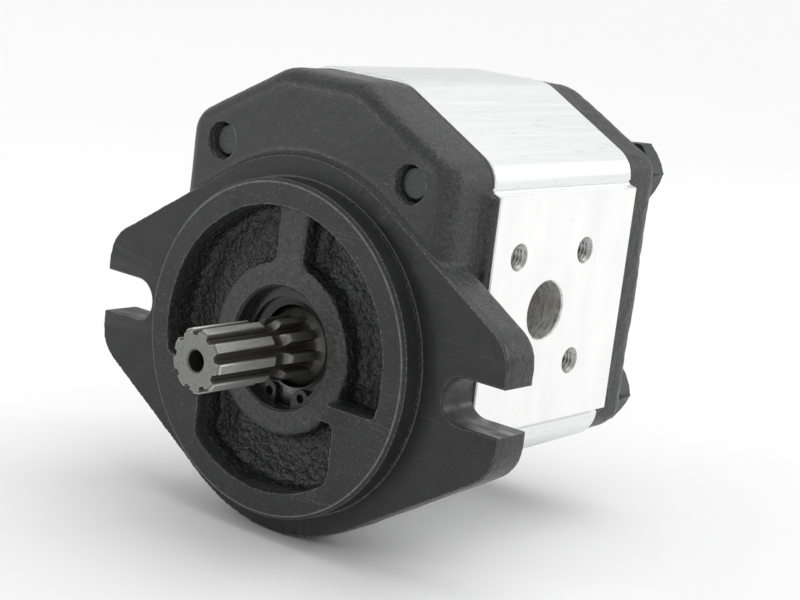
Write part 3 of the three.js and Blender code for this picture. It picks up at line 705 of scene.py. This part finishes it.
def tooth_points(teeth, pitch_r, pressure, tip_r, root_r, thickness, phase, steps=7):
    """(radius, angle) points round a toothed section, with involute flanks."""
    base_r = pitch_r * math.cos(pressure)
    roll = math.tan(pressure)
    half = thickness / (2 * pitch_r) + roll - math.atan(roll)
    start = max(base_r, root_r)
    flank = []
    for i in range(steps + 1):
        r = start + (tip_r - start) * i / steps
        turn = math.sqrt(max((r / base_r) ** 2 - 1, 0))
        flank.append((r, half - turn + math.atan(turn)))
    step = TAU / teeth
    fillet = []
    if root_r < start:
        gap = step / 2 - half
        fillet = [
            (root_r, half + 0.35 * gap),
            (root_r + 0.3 * (start - root_r), half + 0.08 * gap),
        ]
    side = fillet + flank
    top = [(tip_r, a) for a in (-0.5 * flank[-1][1], 0, 0.5 * flank[-1][1])]
    tooth = [(r, -a) for r, a in side] + top + [(r, a) for r, a in reversed(side)]
    points = []
    for n in range(teeth):
        centre = phase + n * step
        points.append((root_r, centre - step / 2))
        points += [(r, centre + a) for r, a in tooth]
    return points


def toothed(name, points, stations):
    """A toothed bar. Each station is (y, lowest radius, highest radius), which clip the teeth."""
    rings = []
    for y, low, high in stations:
        clipped = [(min(high, max(low, r)), a) for r, a in points]
        rings.append([(r * math.cos(a), y, r * math.sin(a)) for r, a in clipped])
    return loft(name, rings)


SPLINE_TEETH = 9
SPLINE_TIP_R = 7.73
SPLINE_ROOT_R = 6.0
SPLINE_PITCH_R = 7.144
SPLINE_PHASE = math.radians(-3.8)
FIRST_SPLINE_END_Y = -12.6
NECK_START_Y = -11.7
NECK_LENGTH = 4.0
NECK_R = SPLINE_ROOT_R + 0.2
HOB_START_Y = -3.5  # the tooth roots rise from here to the journal
HOB_LENGTH = 7.9
CONE_START_Y = -1.4
CONE_END_Y = 4.6
JOURNAL_R = 10
JOURNAL_CHAMFER = 0.8
GEAR_PRESSURE = math.radians(20)
SPLINE_PRESSURE = math.radians(30)
GEAR_TIP_R = 18.1
GEAR_ROOT_R = 12.3
GEAR_FRONT_Y = 37
GEAR_REAR_Y = 57
GEAR_TEETH = 12
BACKLASH = 0.2


def gear(name, phase):
    points = tooth_points(
        GEAR_TEETH,
        MID_Z,
        GEAR_PRESSURE,
        GEAR_TIP_R,
        GEAR_ROOT_R,
        math.pi * MID_Z / GEAR_TEETH - BACKLASH,
        phase,
        steps=9,
    )
    bevel = 0.25
    stations = [
        (GEAR_FRONT_Y, 0, GEAR_TIP_R - bevel),
        (GEAR_FRONT_Y + bevel, 0, GEAR_TIP_R),
        (GEAR_REAR_Y - bevel, 0, GEAR_TIP_R),
        (GEAR_REAR_Y, 0, GEAR_TIP_R - bevel),
    ]
    return toothed(name, points, stations)


def drive_shaft():
    points = tooth_points(
        SPLINE_TEETH,
        SPLINE_PITCH_R,
        SPLINE_PRESSURE,
        SPLINE_TIP_R,
        SPLINE_ROOT_R,
        math.pi * SPLINE_PITCH_R / SPLINE_TEETH,
        SPLINE_PHASE,
    )
    end = SHAFT_LOW.y
    tip = SPLINE_TIP_R
    stations = [
        (end, 0, tip - 0.85),
        (end + 0.15, 0, tip - 0.7),
        (end + 0.85, 0, tip),
        (FIRST_SPLINE_END_Y, 0, tip),
        (-12.0, 0, tip - 0.5),
    ]
    neck_steps = 8
    for i in range(neck_steps + 1):
        u = i / neck_steps
        sink = math.sin(math.pi * u) ** 0.6
        y = NECK_START_Y + NECK_LENGTH * u
        stations.append((y, 0, tip - 0.9 - (tip - 0.9 - NECK_R) * sink))
    stations += [(-7.2, 0, tip - 0.7), (-6.9, 0, tip - 0.35), (-6.2, 0, tip)]
    hob_steps = 10
    for i in range(hob_steps + 1):
        u = i / hob_steps
        y = HOB_START_Y + HOB_LENGTH * u
        low = SPLINE_ROOT_R + (JOURNAL_R - SPLINE_ROOT_R) * u**3
        rise = max(0, (y - CONE_START_Y) / (CONE_END_Y - CONE_START_Y))
        high = tip + rise * (JOURNAL_R - tip)
        stations.append((y, min(low, high), high))
    stations.append((CONE_END_Y, JOURNAL_R, JOURNAL_R))
    stations.append((GEAR_FRONT_Y + 2, JOURNAL_R, JOURNAL_R))
    shaft = toothed("drive_shaft_and_gear", points, stations)
    rear = turned(
        "rear",
        [
            (GEAR_FRONT_Y + 1, 0),
            (GEAR_FRONT_Y + 1, JOURNAL_R - 0.4),
            (GEAR_REAR_Y, JOURNAL_R - 0.4),
            (GEAR_REAR_Y + JOURNAL_CHAMFER, JOURNAL_R),
            (SHAFT_HIGH.y - JOURNAL_CHAMFER, JOURNAL_R),
            (SHAFT_HIGH.y, JOURNAL_R - JOURNAL_CHAMFER),
            (SHAFT_HIGH.y, 0),
        ],
    )
    join(shaft, gear("gear", 0), rear)
    drill = turned(
        "drill",
        [
            (end - 1, 0),
            (end - 1, 4.0),
            (end + 0.45, 2.55),
            (end + 5.5, 2.45),
            (end + 7, 0.3),
            (end + 7, 0),
        ],
        64,
    )
    return carve(shaft, drill)


def driven_shaft():
    shaft = turned(
        "driven_shaft_and_gear",
        [
            (DRIVEN_LOW.y, 0),
            (DRIVEN_LOW.y, JOURNAL_R - JOURNAL_CHAMFER),
            (DRIVEN_LOW.y + JOURNAL_CHAMFER, JOURNAL_R),
            (DRIVEN_HIGH.y - JOURNAL_CHAMFER, JOURNAL_R),
            (DRIVEN_HIGH.y, JOURNAL_R - JOURNAL_CHAMFER),
            (DRIVEN_HIGH.y, 0),
        ],
    )
    join(shaft, gear("gear", math.pi / GEAR_TEETH))
    shaft.data.transform(Matrix.Translation((0, 0, DRIVEN_Z)))
    return shaft


# ---- Small parts --------------------------------------------------------------------------


def hex_bolt(number, x, z, turn):
    """A case bolt. The turn is the angle of one corner of its head."""
    low, high = box_mm(f"hex_bolt_{number}")
    seat = REAR_HIGH.y + 0.05
    back = high.y
    place = along_y(x, z)
    count = 96
    angles = [turn + TAU * i / count for i in range(count)]
    corner = HEX_CORNER_R
    flat = corner * math.cos(math.pi / 6)

    def hexagon(a):
        local = (a - turn) % (math.pi / 3) - math.pi / 6
        return flat / math.cos(local)

    rings = []
    for y, limit in (
        (seat, flat - 0.25),
        (seat + 0.35, flat - 0.2),
        (seat + 0.4, corner - 0.35),
        (seat + 0.75, corner),
        (back - 1.15, corner),
        (back - 0.85, corner - 0.5),
        (back - 0.35, flat + 0.2),
        (back - 0.05, flat - 0.35),
        (back, flat - 0.7),
        (back - 0.02, flat - 2.0),
    ):
        rings.append([place(y, min(hexagon(a), limit), a) for a in angles])
    head = loft(f"case_bolt_{number}", rings)
    shank = turned(
        "shank",
        [
            (low.y + 20, 0),
            (low.y + 20, BOLT_NECK_R),
            (low.y + (BOLT_THREAD_LENGTH - 0.5), BOLT_NECK_R),
            (low.y + (BOLT_THREAD_LENGTH + 0.5), BOLT_SHANK_R),
            (seat + 1, BOLT_SHANK_R),
            (seat + 1, 0),
        ],
        48,
        place,
    )
    limits = (low.y, low.y + BOLT_THREAD_LENGTH)
    thread = threaded(
        "thread", limits, BOLT_THREAD_RADII, BOLT_LEAD, place, mouth=-0.9, segments=40
    )
    return join(head, shank, thread)


RING_INNER_R = 12.75
RING_INNER_DROP = 0.35  # the hole's centre is this far below the shaft's axis
RING_GAP_HALF_WIDTH = 2.6
LUG_CENTRE_R = 12.9
LUG_DEGREES = (-65, -111)
LUG_R = 2.3
EYE_R = 1.15


def retaining_ring():
    front, rear = RING_LOW.y, RING_HIGH.y
    outer = RING_GROOVE_R - 0.1
    half_gap = RING_GAP_HALF_WIDTH
    lugs = []
    for degrees in LUG_DEGREES:
        a = math.radians(degrees)
        lugs.append(along_y(LUG_CENTRE_R * math.cos(a), LUG_CENTRE_R * math.sin(a)))
    ring = bar("retaining_ring", outer, front, rear, 160)
    inner_axis = along_y(0, -RING_INNER_DROP)
    carve(ring, bar("inner", RING_INNER_R, front - 1, rear + 1, 160, inner_axis))
    for place in lugs:
        join(ring, bar("lug", LUG_R, front, rear, 64, place))
    carve(ring, block("gap", (-half_gap, front - 1, -outer - 2), (half_gap, rear + 1, 0)))
    for place in lugs:
        carve(ring, bar("eye", EYE_R, front - 1, rear + 1, 48, place))
    bevel_edges(ring, 0.1)
    return bake(ring)


def lip_seal():
    """The rubber of the seal: the outer wall, the web and the lip, as (station, radius)."""
    profile = [
        (1.95, 11.3), (1.8, 11.6), (1.8, 14.6), (2.0, 14.85), (8.6, 14.85), (8.75, 14.7),
        (8.75, 14.15), (2.95, 14.15), (2.95, 12.1), (3.9, 11.85), (5.8, 11.38), (6.3, 11.28),
        (7.6, 11.25), (7.75, 11.1), (7.7, 10.6), (6.45, 10.17), (6.3, 10.17), (5.1, 10.7),
        (3.5, 10.75), (2.75, 10.25), (2.55, 10.18), (2.3, 10.22),
    ]
    return turned("lip_seal", profile, 160)


def seal_spring():
    """A closely wound garter spring in the groove behind the lip."""
    coils, steps, sides = 96, 10, 6
    ring_r, coil_r, wire_r, y = 12.0, 0.42, 0.12, 6.9
    rings = []
    for i in range(coils * steps):
        a = TAU * i / (coils * steps)
        b = TAU * i / steps
        ring = []
        for j in range(sides):
            c = TAU * j / sides
            reach = coil_r + wire_r * math.cos(c)
            r = ring_r + reach * math.cos(b)
            turn = a + wire_r * math.sin(c) / ring_r
            ring.append((r * math.cos(turn), y + reach * math.sin(b), r * math.sin(turn)))
        rings.append(ring)
    return loft("seal_spring", rings, closed=True)


# ---- Materials ----------------------------------------------------------------------------

DARKER_FROM_Y = -7.0  # behind this station the drive shaft is coloured darker


class Look:
    """A node material with helpers for procedural detail in object space, in millimetres."""

    def __init__(self, name, colour, metallic, roughness, specular=0.5):
        self.made = bpy.data.materials.new(name)
        self.made.use_nodes = True
        self.nodes = self.made.node_tree.nodes
        self.links = self.made.node_tree.links
        self.shader = self.nodes["Principled BSDF"]
        self.shader.inputs["Base Color"].default_value = (*colour, 1)
        self.shader.inputs["Metallic"].default_value = metallic
        self.shader.inputs["Roughness"].default_value = roughness
        self.shader.inputs["Specular IOR Level"].default_value = specular
        place = self.nodes.new("ShaderNodeTexCoord")
        scale = self.nodes.new("ShaderNodeVectorMath")
        scale.operation = "SCALE"
        scale.inputs["Scale"].default_value = 1 / MM
        self.links.new(place.outputs["Object"], scale.inputs[0])
        self.place = scale.outputs["Vector"]
        self.height = None

    def stretched(self, x, y, z):
        """Places multiplied by a factor along each axis."""
        node = self.nodes.new("ShaderNodeVectorMath")
        node.operation = "MULTIPLY"
        self.links.new(self.place, node.inputs[0])
        node.inputs[1].default_value = (x, y, z)
        return node.outputs["Vector"]

    def noise(self, size, detail=3.0, rough=0.55, place=None):
        node = self.nodes.new("ShaderNodeTexNoise")
        node.inputs["Scale"].default_value = 1 / size
        node.inputs["Detail"].default_value = detail
        node.inputs["Roughness"].default_value = rough
        self.links.new(place or self.place, node.inputs["Vector"])
        return node.outputs["Fac"]

    def ramp(self, value, *stops):
        node = self.nodes.new("ShaderNodeValToRGB")
        items = node.color_ramp.elements
        while len(items) < len(stops):
            items.new(0.5)
        for item, (at, colour) in zip(items, stops):
            item.position = at
            item.color = (*colour, 1) if isinstance(colour, tuple) else (colour,) * 3 + (1,)
        self.links.new(value, node.inputs["Fac"])
        return node.outputs["Color"]

    def math(self, operation, a, b):
        node = self.nodes.new("ShaderNodeMath")
        node.operation = operation
        for socket, value in zip(node.inputs, (a, b)):
            if isinstance(value, (int, float)):
                socket.default_value = value
            else:
                self.links.new(value, socket)
        return node.outputs["Value"]

    def times(self, a, b):
        return self.math("MULTIPLY", a, b)

    def spread(self, noise, low, high):
        """Goes from low to high over the middle of a noise's range."""
        return self.ramp(noise, (0.3, low), (0.7, high))

    def mixed(self, factor, a, b, blend="MIX"):
        node = self.nodes.new("ShaderNodeMix")
        node.data_type = "RGBA"
        node.blend_type = blend
        for socket, value in ((node.inputs[0], factor), (node.inputs[6], a), (node.inputs[7], b)):
            if isinstance(value, (int, float)):
                socket.default_value = value
            elif isinstance(value, tuple):
                socket.default_value = (*value, 1)
            else:
                self.links.new(value, socket)
        return node.outputs[2]

    def radius(self):
        """Distance from the drive shaft's axis, in millimetres."""
        flat = self.stretched(1, 0, 1)
        node = self.nodes.new("ShaderNodeVectorMath")
        node.operation = "LENGTH"
        self.links.new(flat, node.inputs[0])
        return node.outputs["Value"]

    def along(self, axis):
        """Place along X, Y or Z, in millimetres. The shaft lies along Y."""
        node = self.nodes.new("ShaderNodeSeparateXYZ")
        self.links.new(self.place, node.inputs[0])
        return node.outputs[axis]

    def polar(self):
        """Places that change with the radius and the station only, for turned marks."""
        node = self.nodes.new("ShaderNodeCombineXYZ")
        self.links.new(self.radius(), node.inputs["X"])
        self.links.new(self.along("Y"), node.inputs["Y"])
        return node.outputs["Vector"]

    def between(self, value, least, most):
        """1 from least to most, and 0 outside."""
        above = self.math("GREATER_THAN", value, least)
        return self.times(above, self.math("LESS_THAN", value, most))

    def edges(self, reach, least=0.03, most=0.16):
        """1 where the surface turns within the reach, in millimetres, and 0 on flats."""
        rounded = self.nodes.new("ShaderNodeBevel")
        rounded.samples = 4
        rounded.inputs["Radius"].default_value = reach * MM
        surface = self.nodes.new("ShaderNodeNewGeometry")
        node = self.nodes.new("ShaderNodeVectorMath")
        node.operation = "DOT_PRODUCT"
        self.links.new(rounded.outputs["Normal"], node.inputs[0])
        self.links.new(surface.outputs["Normal"], node.inputs[1])
        turn = self.math("SUBTRACT", 1.0, node.outputs["Value"])
        return self.ramp(turn, (least, 0.0), (most, 1.0))

    def near(self, value, centre, reach):
        """1 at the centre, fading to 0 at the reach."""
        away = self.math("ABSOLUTE", self.math("SUBTRACT", value, centre), 0.0)
        share = self.math("DIVIDE", away, reach)
        return self.math("MAXIMUM", self.math("SUBTRACT", 1.0, share), 0.0)

    def colour(self, value):
        self.links.new(value, self.shader.inputs["Base Color"])

    def roughness(self, value):
        self.links.new(value, self.shader.inputs["Roughness"])

    def bump(self, value, depth):
        """Adds a layer of relief of a depth in millimetres."""
        node = self.nodes.new("ShaderNodeBump")
        node.inputs["Distance"].default_value = depth * MM
        node.inputs["Strength"].default_value = 1.0
        self.links.new(value, node.inputs["Height"])
        if self.height is not None:
            self.links.new(self.height, node.inputs["Normal"])
        self.height = node.outputs["Normal"]
        self.links.new(self.height, self.shader.inputs["Normal"])


def cast_black():
    look = Look("cast_black", (0.02, 0.021, 0.0205), 0.0, 0.38, 0.4)
    radius, station = look.radius(), look.along("Y")
    inside = look.math("LESS_THAN", radius, POCKET_OUTER_R + 0.4)
    cored = look.times(inside, look.between(station, BOSS_FACE_Y + 0.6, FLANGE_REAR_Y))
    smooth_face = look.near(station, HEAD_FRONT_Y, 1.6)
    fine = look.noise(0.35, 3.0, 0.6)
    sand = look.noise(0.95, 3.0, 0.6)
    lumps = look.noise(1.5, 2.5, 0.5)
    tone = look.ramp(sand, (0.32, (0.015, 0.0158, 0.0155)), (0.7, (0.048, 0.0502, 0.0488)))
    flat_tone = look.spread(fine, (0.02, 0.021, 0.0205), (0.026, 0.0273, 0.0266))
    specks = look.ramp(look.noise(0.26, 0.0), (0.75, 0.0), (0.79, 0.13))
    toned = look.mixed(look.math("MAXIMUM", smooth_face, cored), tone, flat_tone)
    toned = look.mixed(1.0, toned, specks, "ADD")
    chipped = look.ramp(lumps, (0.45, 0.0), (0.6, 1.0))
    wear = look.times(look.edges(0.5, 0.02, 0.12), chipped)
    look.colour(look.mixed(wear, toned, (0.13, 0.133, 0.13)))
    satin = look.spread(lumps, 0.3, 0.44)
    look.roughness(look.mixed(cored, satin, look.ramp(lumps, (0.3, 0.32), (0.65, 0.2))))
    rough_skin = look.math("SUBTRACT", 1.0, look.times(smooth_face, 0.8))
    look.bump(look.times(sand, rough_skin), 0.3)
    look.bump(look.times(lumps, cored), 1.2)
    look.bump(fine, 0.05)
    return look.made


def machined_black():
    look = Look("machined_black", (0.022, 0.023, 0.0225), 0.0, 0.4, 0.32)
    fine = look.noise(0.3, 3.0, 0.6)
    broad = look.noise(7, 2.0)
    base = look.ramp(broad, (0.35, (0.0195, 0.0205, 0.02)), (0.65, (0.024, 0.0252, 0.0245)))
    dust = look.ramp(look.noise(0.24, 0.0), (0.765, 0.0), (0.8, 0.12))
    scratches = look.noise(1.2, 1.0, 0.4, look.stretched(0.09, 1, 2.6))
    toned = look.mixed(1.0, base, look.ramp(scratches, (0.7, 0.0), (0.74, 0.02)), "ADD")
    toned = look.mixed(1.0, toned, dust, "ADD")
    chipped = look.ramp(look.noise(0.6, 4.0, 0.7), (0.42, 0.0), (0.6, 1.0))
    radius, station = look.radius(), look.along("Y")
    # painted highlights: a bright line round the pilot's rim at the chamfer and another at the root
    # of the pilot wall, broken by noise
    rim = look.near(radius, PILOT_R - PILOT_CHAMFER, 0.3)
    root = look.near(radius, PILOT_R + 0.2, 0.35)
    rim = look.times(rim, look.math("LESS_THAN", station, PILOT_FACE_Y + 1))
    root = look.times(root, look.math("GREATER_THAN", station, -0.3))
    painted_highlight_line = look.times(look.math("MAXIMUM", rim, root), 0.55)
    wear = look.times(look.edges(0.5, 0.02, 0.12), chipped)
    bright_line = look.ramp(look.noise(1.6, 3.0, 0.7), (0.35, 0.35), (0.6, 1.0))
    # the edge wear and these painted highlight lines share one light colour
    wear = look.math("MAXIMUM", wear, look.times(painted_highlight_line, bright_line))
    look.colour(look.mixed(wear, toned, (0.3, 0.304, 0.296)))
    look.roughness(look.spread(fine, 0.34, 0.48))
    look.bump(look.noise(0.5, 2.0, 0.5, look.polar()), 0.012)
    look.bump(fine, 0.022)
    return look.made


def milled_black():
    look = Look("milled_black", (0.03, 0.0315, 0.031), 0.0, 0.36, 0.36)
    smear = look.noise(3.0, 3.0, 0.6, look.stretched(0.4, 1, 1))
    look.colour(look.spread(smear, (0.014, 0.015, 0.0145), (0.042, 0.044, 0.043)))
    look.roughness(look.spread(smear, 0.5, 0.3))
    look.bump(look.noise(0.5, 2.0, 0.5, look.stretched(0.2, 1, 1)), 0.02)
    return look.made


def extruded_aluminium():
    look = Look("extruded_aluminium", (0.86, 0.865, 0.87), 1.0, 0.42)
    lines = look.noise(0.5, 3.0, 0.6, look.stretched(1, 0.01, 1))
    bands = look.noise(2.6, 2.0, 0.5, look.stretched(1, 0.012, 1))
    marks = look.noise(1.4, 4.0, 0.7, look.stretched(1, 0.2, 1))
    tone = look.spread(bands, (0.86, 0.865, 0.865), (0.915, 0.92, 0.92))
    stains = look.ramp(marks, (0.3, 0.6), (0.42, 0.97))
    look.colour(look.mixed(0.35, tone, stains, "MULTIPLY"))
    look.roughness(look.spread(lines, 0.38, 0.5))
    look.bump(lines, 0.004)
    look.bump(bands, 0.003)
    return look.made


def milled_aluminium():
    look = Look("milled_aluminium", (0.9, 0.9, 0.905), 1.0, 0.36)
    lines = look.noise(0.3, 2.0, 0.5, look.stretched(1, 1, 0.03))
    broad = look.noise(7, 2.0, 0.5, look.stretched(1, 1, 0.4))
    tone = look.spread(broad, (0.9, 0.905, 0.9), (0.96, 0.96, 0.955))
    spots = look.ramp(look.noise(0.5, 2.0), (0.24, 0.55), (0.3, 1.0))
    toned = look.mixed(0.6, tone, spots, "MULTIPLY")
    # painted shade: a darker line along every edge of the milled faces
    look.colour(look.mixed(look.edges(0.25), toned, (0.72, 0.725, 0.72)))
    look.roughness(look.spread(lines, 0.3, 0.42))
    look.bump(lines, 0.006)
    return look.made


def bored_aluminium():
    look = Look("bored_aluminium", (0.8, 0.8, 0.785), 0.65, 0.34)
    marks = look.noise(0.7, 4.0, 0.7, look.stretched(1, 0.25, 0.25))
    tone = look.ramp(marks, (0.34, (0.5, 0.5, 0.485)), (0.66, (0.97, 0.97, 0.95)))
    height = look.along("Z")
    # painted highlight: a near-white line just below mid height, where the two gear bores meet in a
    # cusp
    cusp_band = look.near(height, MID_Z - 1.2, 0.55)
    cusp_highlight = look.times(cusp_band, look.ramp(marks, (0.4, 0.0), (0.6, 1.0)))
    toned = look.mixed(cusp_highlight, tone, (1.0, 1.0, 0.99))
    # darker and browner in a band at mid height, round the passage
    mid_height_darkening = look.times(look.near(height, MID_Z, 2.4), 0.5)
    toned = look.mixed(mid_height_darkening, toned, look.mixed(0.7, toned, (0.5, 0.42, 0.28), "MULTIPLY"))
    look.colour(toned)
    look.roughness(look.spread(marks, 0.22, 0.42))
    look.bump(marks, 0.02)
    return look.made


def tapped_aluminium_painted_shade():
    # painted shade: the tapped holes are coloured as a darker copy of the aluminium
    look = Look("tapped_aluminium_painted_shade", (0.5, 0.5, 0.49), 0.9, 0.32)
    grain = look.noise(0.4, 3.0)
    tone = look.spread(grain, (0.3, 0.3, 0.29), (0.52, 0.52, 0.505))
    # painted highlight: near white along the thread edges
    look.colour(look.mixed(look.edges(0.4), tone, (0.97, 0.97, 0.96)))
    look.roughness(look.spread(grain, 0.26, 0.42))
    look.bump(grain, 0.01)
    return look.made


def gear_steel():
    look = Look("gear_steel", (0.4, 0.4, 0.385), 0.85, 0.38)
    station = look.along("Y")
    full = 20.0  # the radius at the end of the ramp
    tone = look.ramp(
        look.math("DIVIDE", look.radius(), full),
        (SPLINE_ROOT_R / full, (0.1, 0.097, 0.082)),
        ((SPLINE_TIP_R - 0.5) / full, (0.21, 0.207, 0.187)),
        ((SPLINE_TIP_R - 0.12) / full, (0.85, 0.86, 0.82)),
        (JOURNAL_R / full, (0.24, 0.238, 0.225)),
    )
    end_face = look.near(station, SHAFT_LOW.y, 1.4)
    facing = look.noise(0.8, 3.0, 0.6)
    faced = look.spread(facing, (0.17, 0.174, 0.162), (0.22, 0.225, 0.21))
    # darker brown-grey from just in front of the pilot face back
    darker_behind = look.times(look.math("GREATER_THAN", station, DARKER_FROM_Y), 0.7)
    streaks = look.noise(0.9, 4.0, 0.65, look.stretched(1, 0.12, 1))
    toned = look.mixed(0.45, tone, look.ramp(streaks, (0.3, 0.5), (0.58, 1.0)), "MULTIPLY")
    toned = look.mixed(darker_behind, toned, (0.075, 0.071, 0.055))
    # painted shade: nearly black round station 7, inside the seal bore
    toned = look.mixed(look.near(station, 7.0, 6.0), toned, (0.03, 0.029, 0.025))
    toned = look.mixed(end_face, toned, faced)
    worn = look.times(look.edges(0.35), 0.6)
    look.colour(look.mixed(worn, toned, (0.6, 0.61, 0.575)))
    grain = look.noise(0.35, 3.0, 0.6)
    look.roughness(look.spread(grain, 0.3, 0.5))
    look.bump(grain, 0.012)
    return look.made


def grained(look, grain, tones, gloss, depth):
    """Finishes a look whose tone, roughness and relief all follow one grain."""
    look.colour(look.spread(grain, tones[0], tones[1]))
    look.roughness(look.spread(grain, gloss[0], gloss[1]))
    look.bump(grain, depth)
    return look.made


def bolt_steel():
    look = Look("bolt_steel", (0.06, 0.063, 0.062), 0.55, 0.4)
    tones = (0.035, 0.037, 0.0365), (0.075, 0.079, 0.078)
    return grained(look, look.noise(0.7, 4.0, 0.6), tones, (0.36, 0.52), 0.03)


def ring_steel():
    look = Look("ring_steel", (0.02, 0.02, 0.021), 0.3, 0.22)
    tones = (0.014, 0.014, 0.015), (0.034, 0.034, 0.035)
    return grained(look, look.noise(0.5, 3.0), tones, (0.14, 0.3), 0.02)


def seal_rubber():
    look = Look("seal_rubber", (0.012, 0.012, 0.013), 0.0, 0.35)
    tones = (0.009, 0.009, 0.01), (0.018, 0.018, 0.019)
    return grained(look, look.noise(0.6, 3.0), tones, (0.26, 0.45), 0.03)


def plain_metal(name, dark, light, roughness, size=0.6):
    look = Look(name, light, 1.0, roughness)
    gloss = roughness - 0.07, roughness + 0.08
    return grained(look, look.noise(size, 3.0), (dark, light), gloss, 0.015)


def polymer():
    look = Look("polymer", (0.72, 0.69, 0.6), 0.0, 0.5)
    tones = (0.66, 0.63, 0.54), (0.76, 0.73, 0.64)
    return grained(look, look.noise(0.8, 3.0), tones, (0.42, 0.6), 0.02)


# ---- Assembly -----------------------------------------------------------------------------

black_cast = cast_black()
black_machined = machined_black()
steel = plain_metal("plain_steel", (0.4, 0.4, 0.4), (0.62, 0.62, 0.62), 0.3)
alloy = plain_metal("bearing_alloy", (0.48, 0.48, 0.48), (0.66, 0.66, 0.66), 0.4, 1.2)
bronze = plain_metal("bearing_bronze", (0.42, 0.3, 0.15), (0.66, 0.48, 0.26), 0.35)
rubber = seal_rubber()
shaft_look = gear_steel()
bolt_look = bolt_steel()

finished(
    front_casting(),
    "housing",
    ["front_cover"],
    [black_cast, black_machined, milled_black()],
)
finished(
    rear_casting(), "housing", ["rear_cover"], [black_cast, black_machined]
)
finished(
    body_extrusion(),
    "housing",
    ["pump_body"],
    [extruded_aluminium(), milled_aluminium(), bored_aluminium(), tapped_aluminium_painted_shade()],
)
finished(drive_shaft(), "drive_shaft", ["drive_gear_shaft"], [shaft_look])
finished(driven_shaft(), "driven_shaft", ["driven_gear_shaft"], [shaft_look])
for number, ((x, z), degrees) in enumerate(zip(BOLT_PLACES, BOLT_TURNS), start=1):
    bolt = hex_bolt(number, x, z, math.radians(degrees))
    finished(bolt, "housing", [f"hex_bolt_{number}"], [bolt_look])
finished(retaining_ring(), "housing", ["circlip"], [ring_steel()])
finished(lip_seal(), "housing", ["shaft_seal"], [rubber], crease=50)
finished(seal_spring(), "housing", ["garter_spring"], [steel], crease=80)

INNER_BEVEL = 0.15
INNER_LOOKS = {
    "bearing_block": alloy,
    "sleeve": bronze,
    "pressure_seal": rubber,
    "body_seal": rubber,
    "backup_ring": polymer(),
    "dowel": steel,
    "seal_case": steel,
}
for name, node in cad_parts.items():
    for part, look in INNER_LOOKS.items():
        if part in name and not node.hide_render:
            node.data.materials.clear()
            node.data.materials.append(look)
            bevel_edges(node, INNER_BEVEL * MM).harden_normals = True

# ---- Studio -------------------------------------------------------------------------------

CAMERA_PLACE = Vector((0.2942, -0.3398, 0.1072))
CAMERA_TURN = (78.30, -6.93, 39.05)  # degrees about X, Y and Z
CAMERA_LENS = 85.65
SKY_STRENGTH = 0.7
FLOOR_HALF_SIZE = 6
SUN_ENERGY = 1.2
SUN_SPREAD = 60  # degrees
SUN_TURN = (-12, 8, 0)  # degrees about X, Y and Z
SOFTBOX_WIDTH = 0.12
SOFTBOXES = (  # name, place from the pump's centre, power
    ("back_right_softbox", (0.5, 0.74, 0.36), 0.9),
    ("front_left_softbox", (-0.6, -0.74, 0.2), 1.1),
)


def sky():
    world = bpy.data.worlds.new("studio")
    world.use_nodes = True
    background = world.node_tree.nodes["Background"]
    background.inputs["Color"].default_value = (1, 1, 1, 1)
    background.inputs["Strength"].default_value = SKY_STRENGTH
    bpy.context.scene.world = world


def pale_floor():
    z = cad_low.z
    s = FLOOR_HALF_SIZE
    mesh = bpy.data.meshes.new("floor")
    mesh.from_pydata([(-s, -s, z), (s, -s, z), (s, s, z), (-s, s, z)], [], [(0, 1, 2, 3)])
    floor = link("floor", mesh)
    pale = bpy.data.materials.new("pale_floor")
    pale.use_nodes = True
    shader = pale.node_tree.nodes["Principled BSDF"]
    shader.inputs["Base Color"].default_value = (0.9, 0.9, 0.9, 1)
    shader.inputs["Roughness"].default_value = 0.8
    mesh.materials.append(pale)


def lamp(name, kind, energy):
    data = bpy.data.lights.new(name, kind)
    data.energy = energy
    return link(name, data)


def lights():
    sun = lamp("overhead", "SUN", SUN_ENERGY)
    sun.data.angle = math.radians(SUN_SPREAD)
    sun.rotation_euler = [math.radians(v) for v in SUN_TURN]
    centre = (cad_low + cad_high) / 2
    for name, place, power in SOFTBOXES:
        box = lamp(name, "AREA", power)
        box.data.size = SOFTBOX_WIDTH
        box.location = centre + Vector(place)
        box.rotation_mode = "QUATERNION"
        box.rotation_quaternion = Vector(place).to_track_quat("Z", "Y")


def camera():
    data = bpy.data.cameras.new("camera")
    data.lens = CAMERA_LENS
    data.sensor_width = 36
    data.clip_start = 0.01
    seer = link("camera", data)
    seer.location = CAMERA_PLACE
    seer.rotation_euler = [math.radians(v) for v in CAMERA_TURN]
    bpy.context.scene.camera = seer
    bpy.context.scene.view_settings.view_transform = "Standard"


sky()
pale_floor()
lights()
camera()
